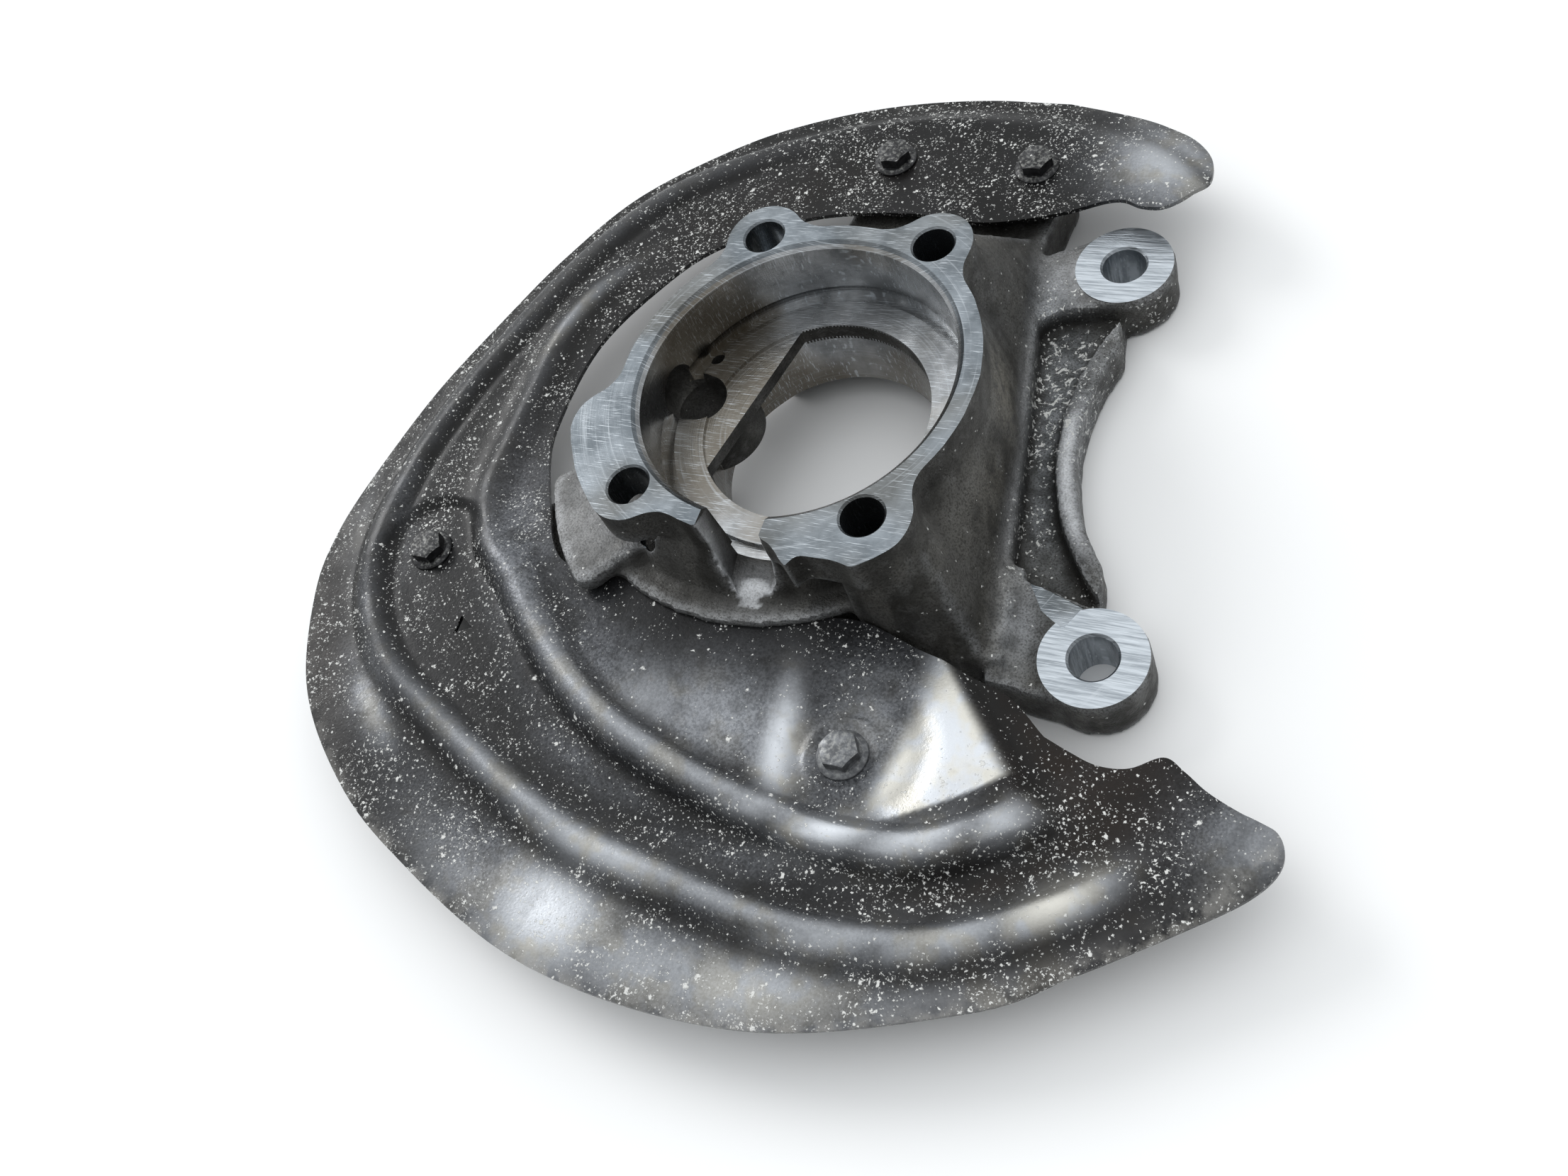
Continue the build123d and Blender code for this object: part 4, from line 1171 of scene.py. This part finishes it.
# The key lamp and the sky: where each is brightest, and how bright.
key_towards = (-0.80, 0.30, 0.52)
key_strength = 1.1
key_spread = 26.0
sky_brightest = (-0.25, 0.33, 0.91)
sky_colour = (0.96, 0.985, 1.0, 1.0)
sky_range = (-0.1, 1.0)
sky_levels = (0.22, 1.50)
# The floor: how far it reaches in metres, and how far under the feet it lies in millimetres.
floor_reach = 20.0
floor_gap = 0.1


def make_stage():
    """A wide floor, pale enough to make the background white."""
    a, z = floor_reach, (foot_plane - floor_gap) * MM
    floor = mesh_object("floor", [(-a, -a, z), (a, -a, z), (a, a, z), (-a, a, z)], [(0, 1, 2, 3)])
    floor.data.materials.append(new_material("studio_floor").finish(floor_white, 0.9, 0.0))


def make_lights():
    """A soft sky, brightest overhead and towards the back, and one broad, far lamp."""
    lamp = bpy.data.lights.new("key", "SUN")
    lamp.energy = key_strength
    lamp.angle = math.radians(key_spread)
    new_object("key", lamp).rotation_euler = Vector(key_towards).to_track_quat("Z", "Y").to_euler()
    sky = Nodes(bpy.data.worlds.new("studio"), "Generated")
    upward = sky.vector("DOT_PRODUCT", sky.place, Vector(sky_brightest).normalized(), "Value")
    strength = sky.span(upward, *sky_range, *sky_levels)
    sky.feed(sky.tree.nodes["Background"], {"Color": sky_colour, "Strength": strength})
    bpy.context.scene.world = sky.owner


def make_camera():
    lens = bpy.data.cameras.new("camera")
    lens.sensor_width = 36.0
    lens.lens = lens.sensor_width * focal_pixels / photo_width
    lens.clip_start = 0.01
    camera = new_object("camera", lens)
    right, up = Vector(camera_right).normalized(), Vector(camera_up).normalized()
    turn = Matrix((right, up, right.cross(up))).transposed().to_4x4()
    camera.matrix_world = Matrix.Translation(camera_place) @ turn
    bpy.context.scene.camera = camera


# ---- the whole ----
def place(piece, node, slot):
    """Ties a piece to the frame's one body and hides the CAD node it stands for. The slot is not used."""
    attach(piece, "root")
    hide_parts(node)


casting = finish_mesh(make_casting(), [cast_material(), machined_material()], 32)
place(casting, "knuckle", "cast_aluminium")
shield = finish_mesh(make_shield(), [sheet_material()], 45)
place(shield, "splash_shield", "shield_sheet")
black = bolt_material("bolt_coating_black", bolt_black)
grey = bolt_material("bolt_coating_grey", bolt_grey)
for node, (x, y, level) in bolts.items():
    bolt = make_bolt(node.replace("shield_bolt", "flange_bolt"), x, y, level)
    finish_mesh(bolt, [grey if node == "shield_bolt_lower" else black], 28)
    place(bolt, node, "bolt_coating")
make_stage()
make_lights()
make_camera()
bpy.context.scene.view_settings.view_transform = "Standard"
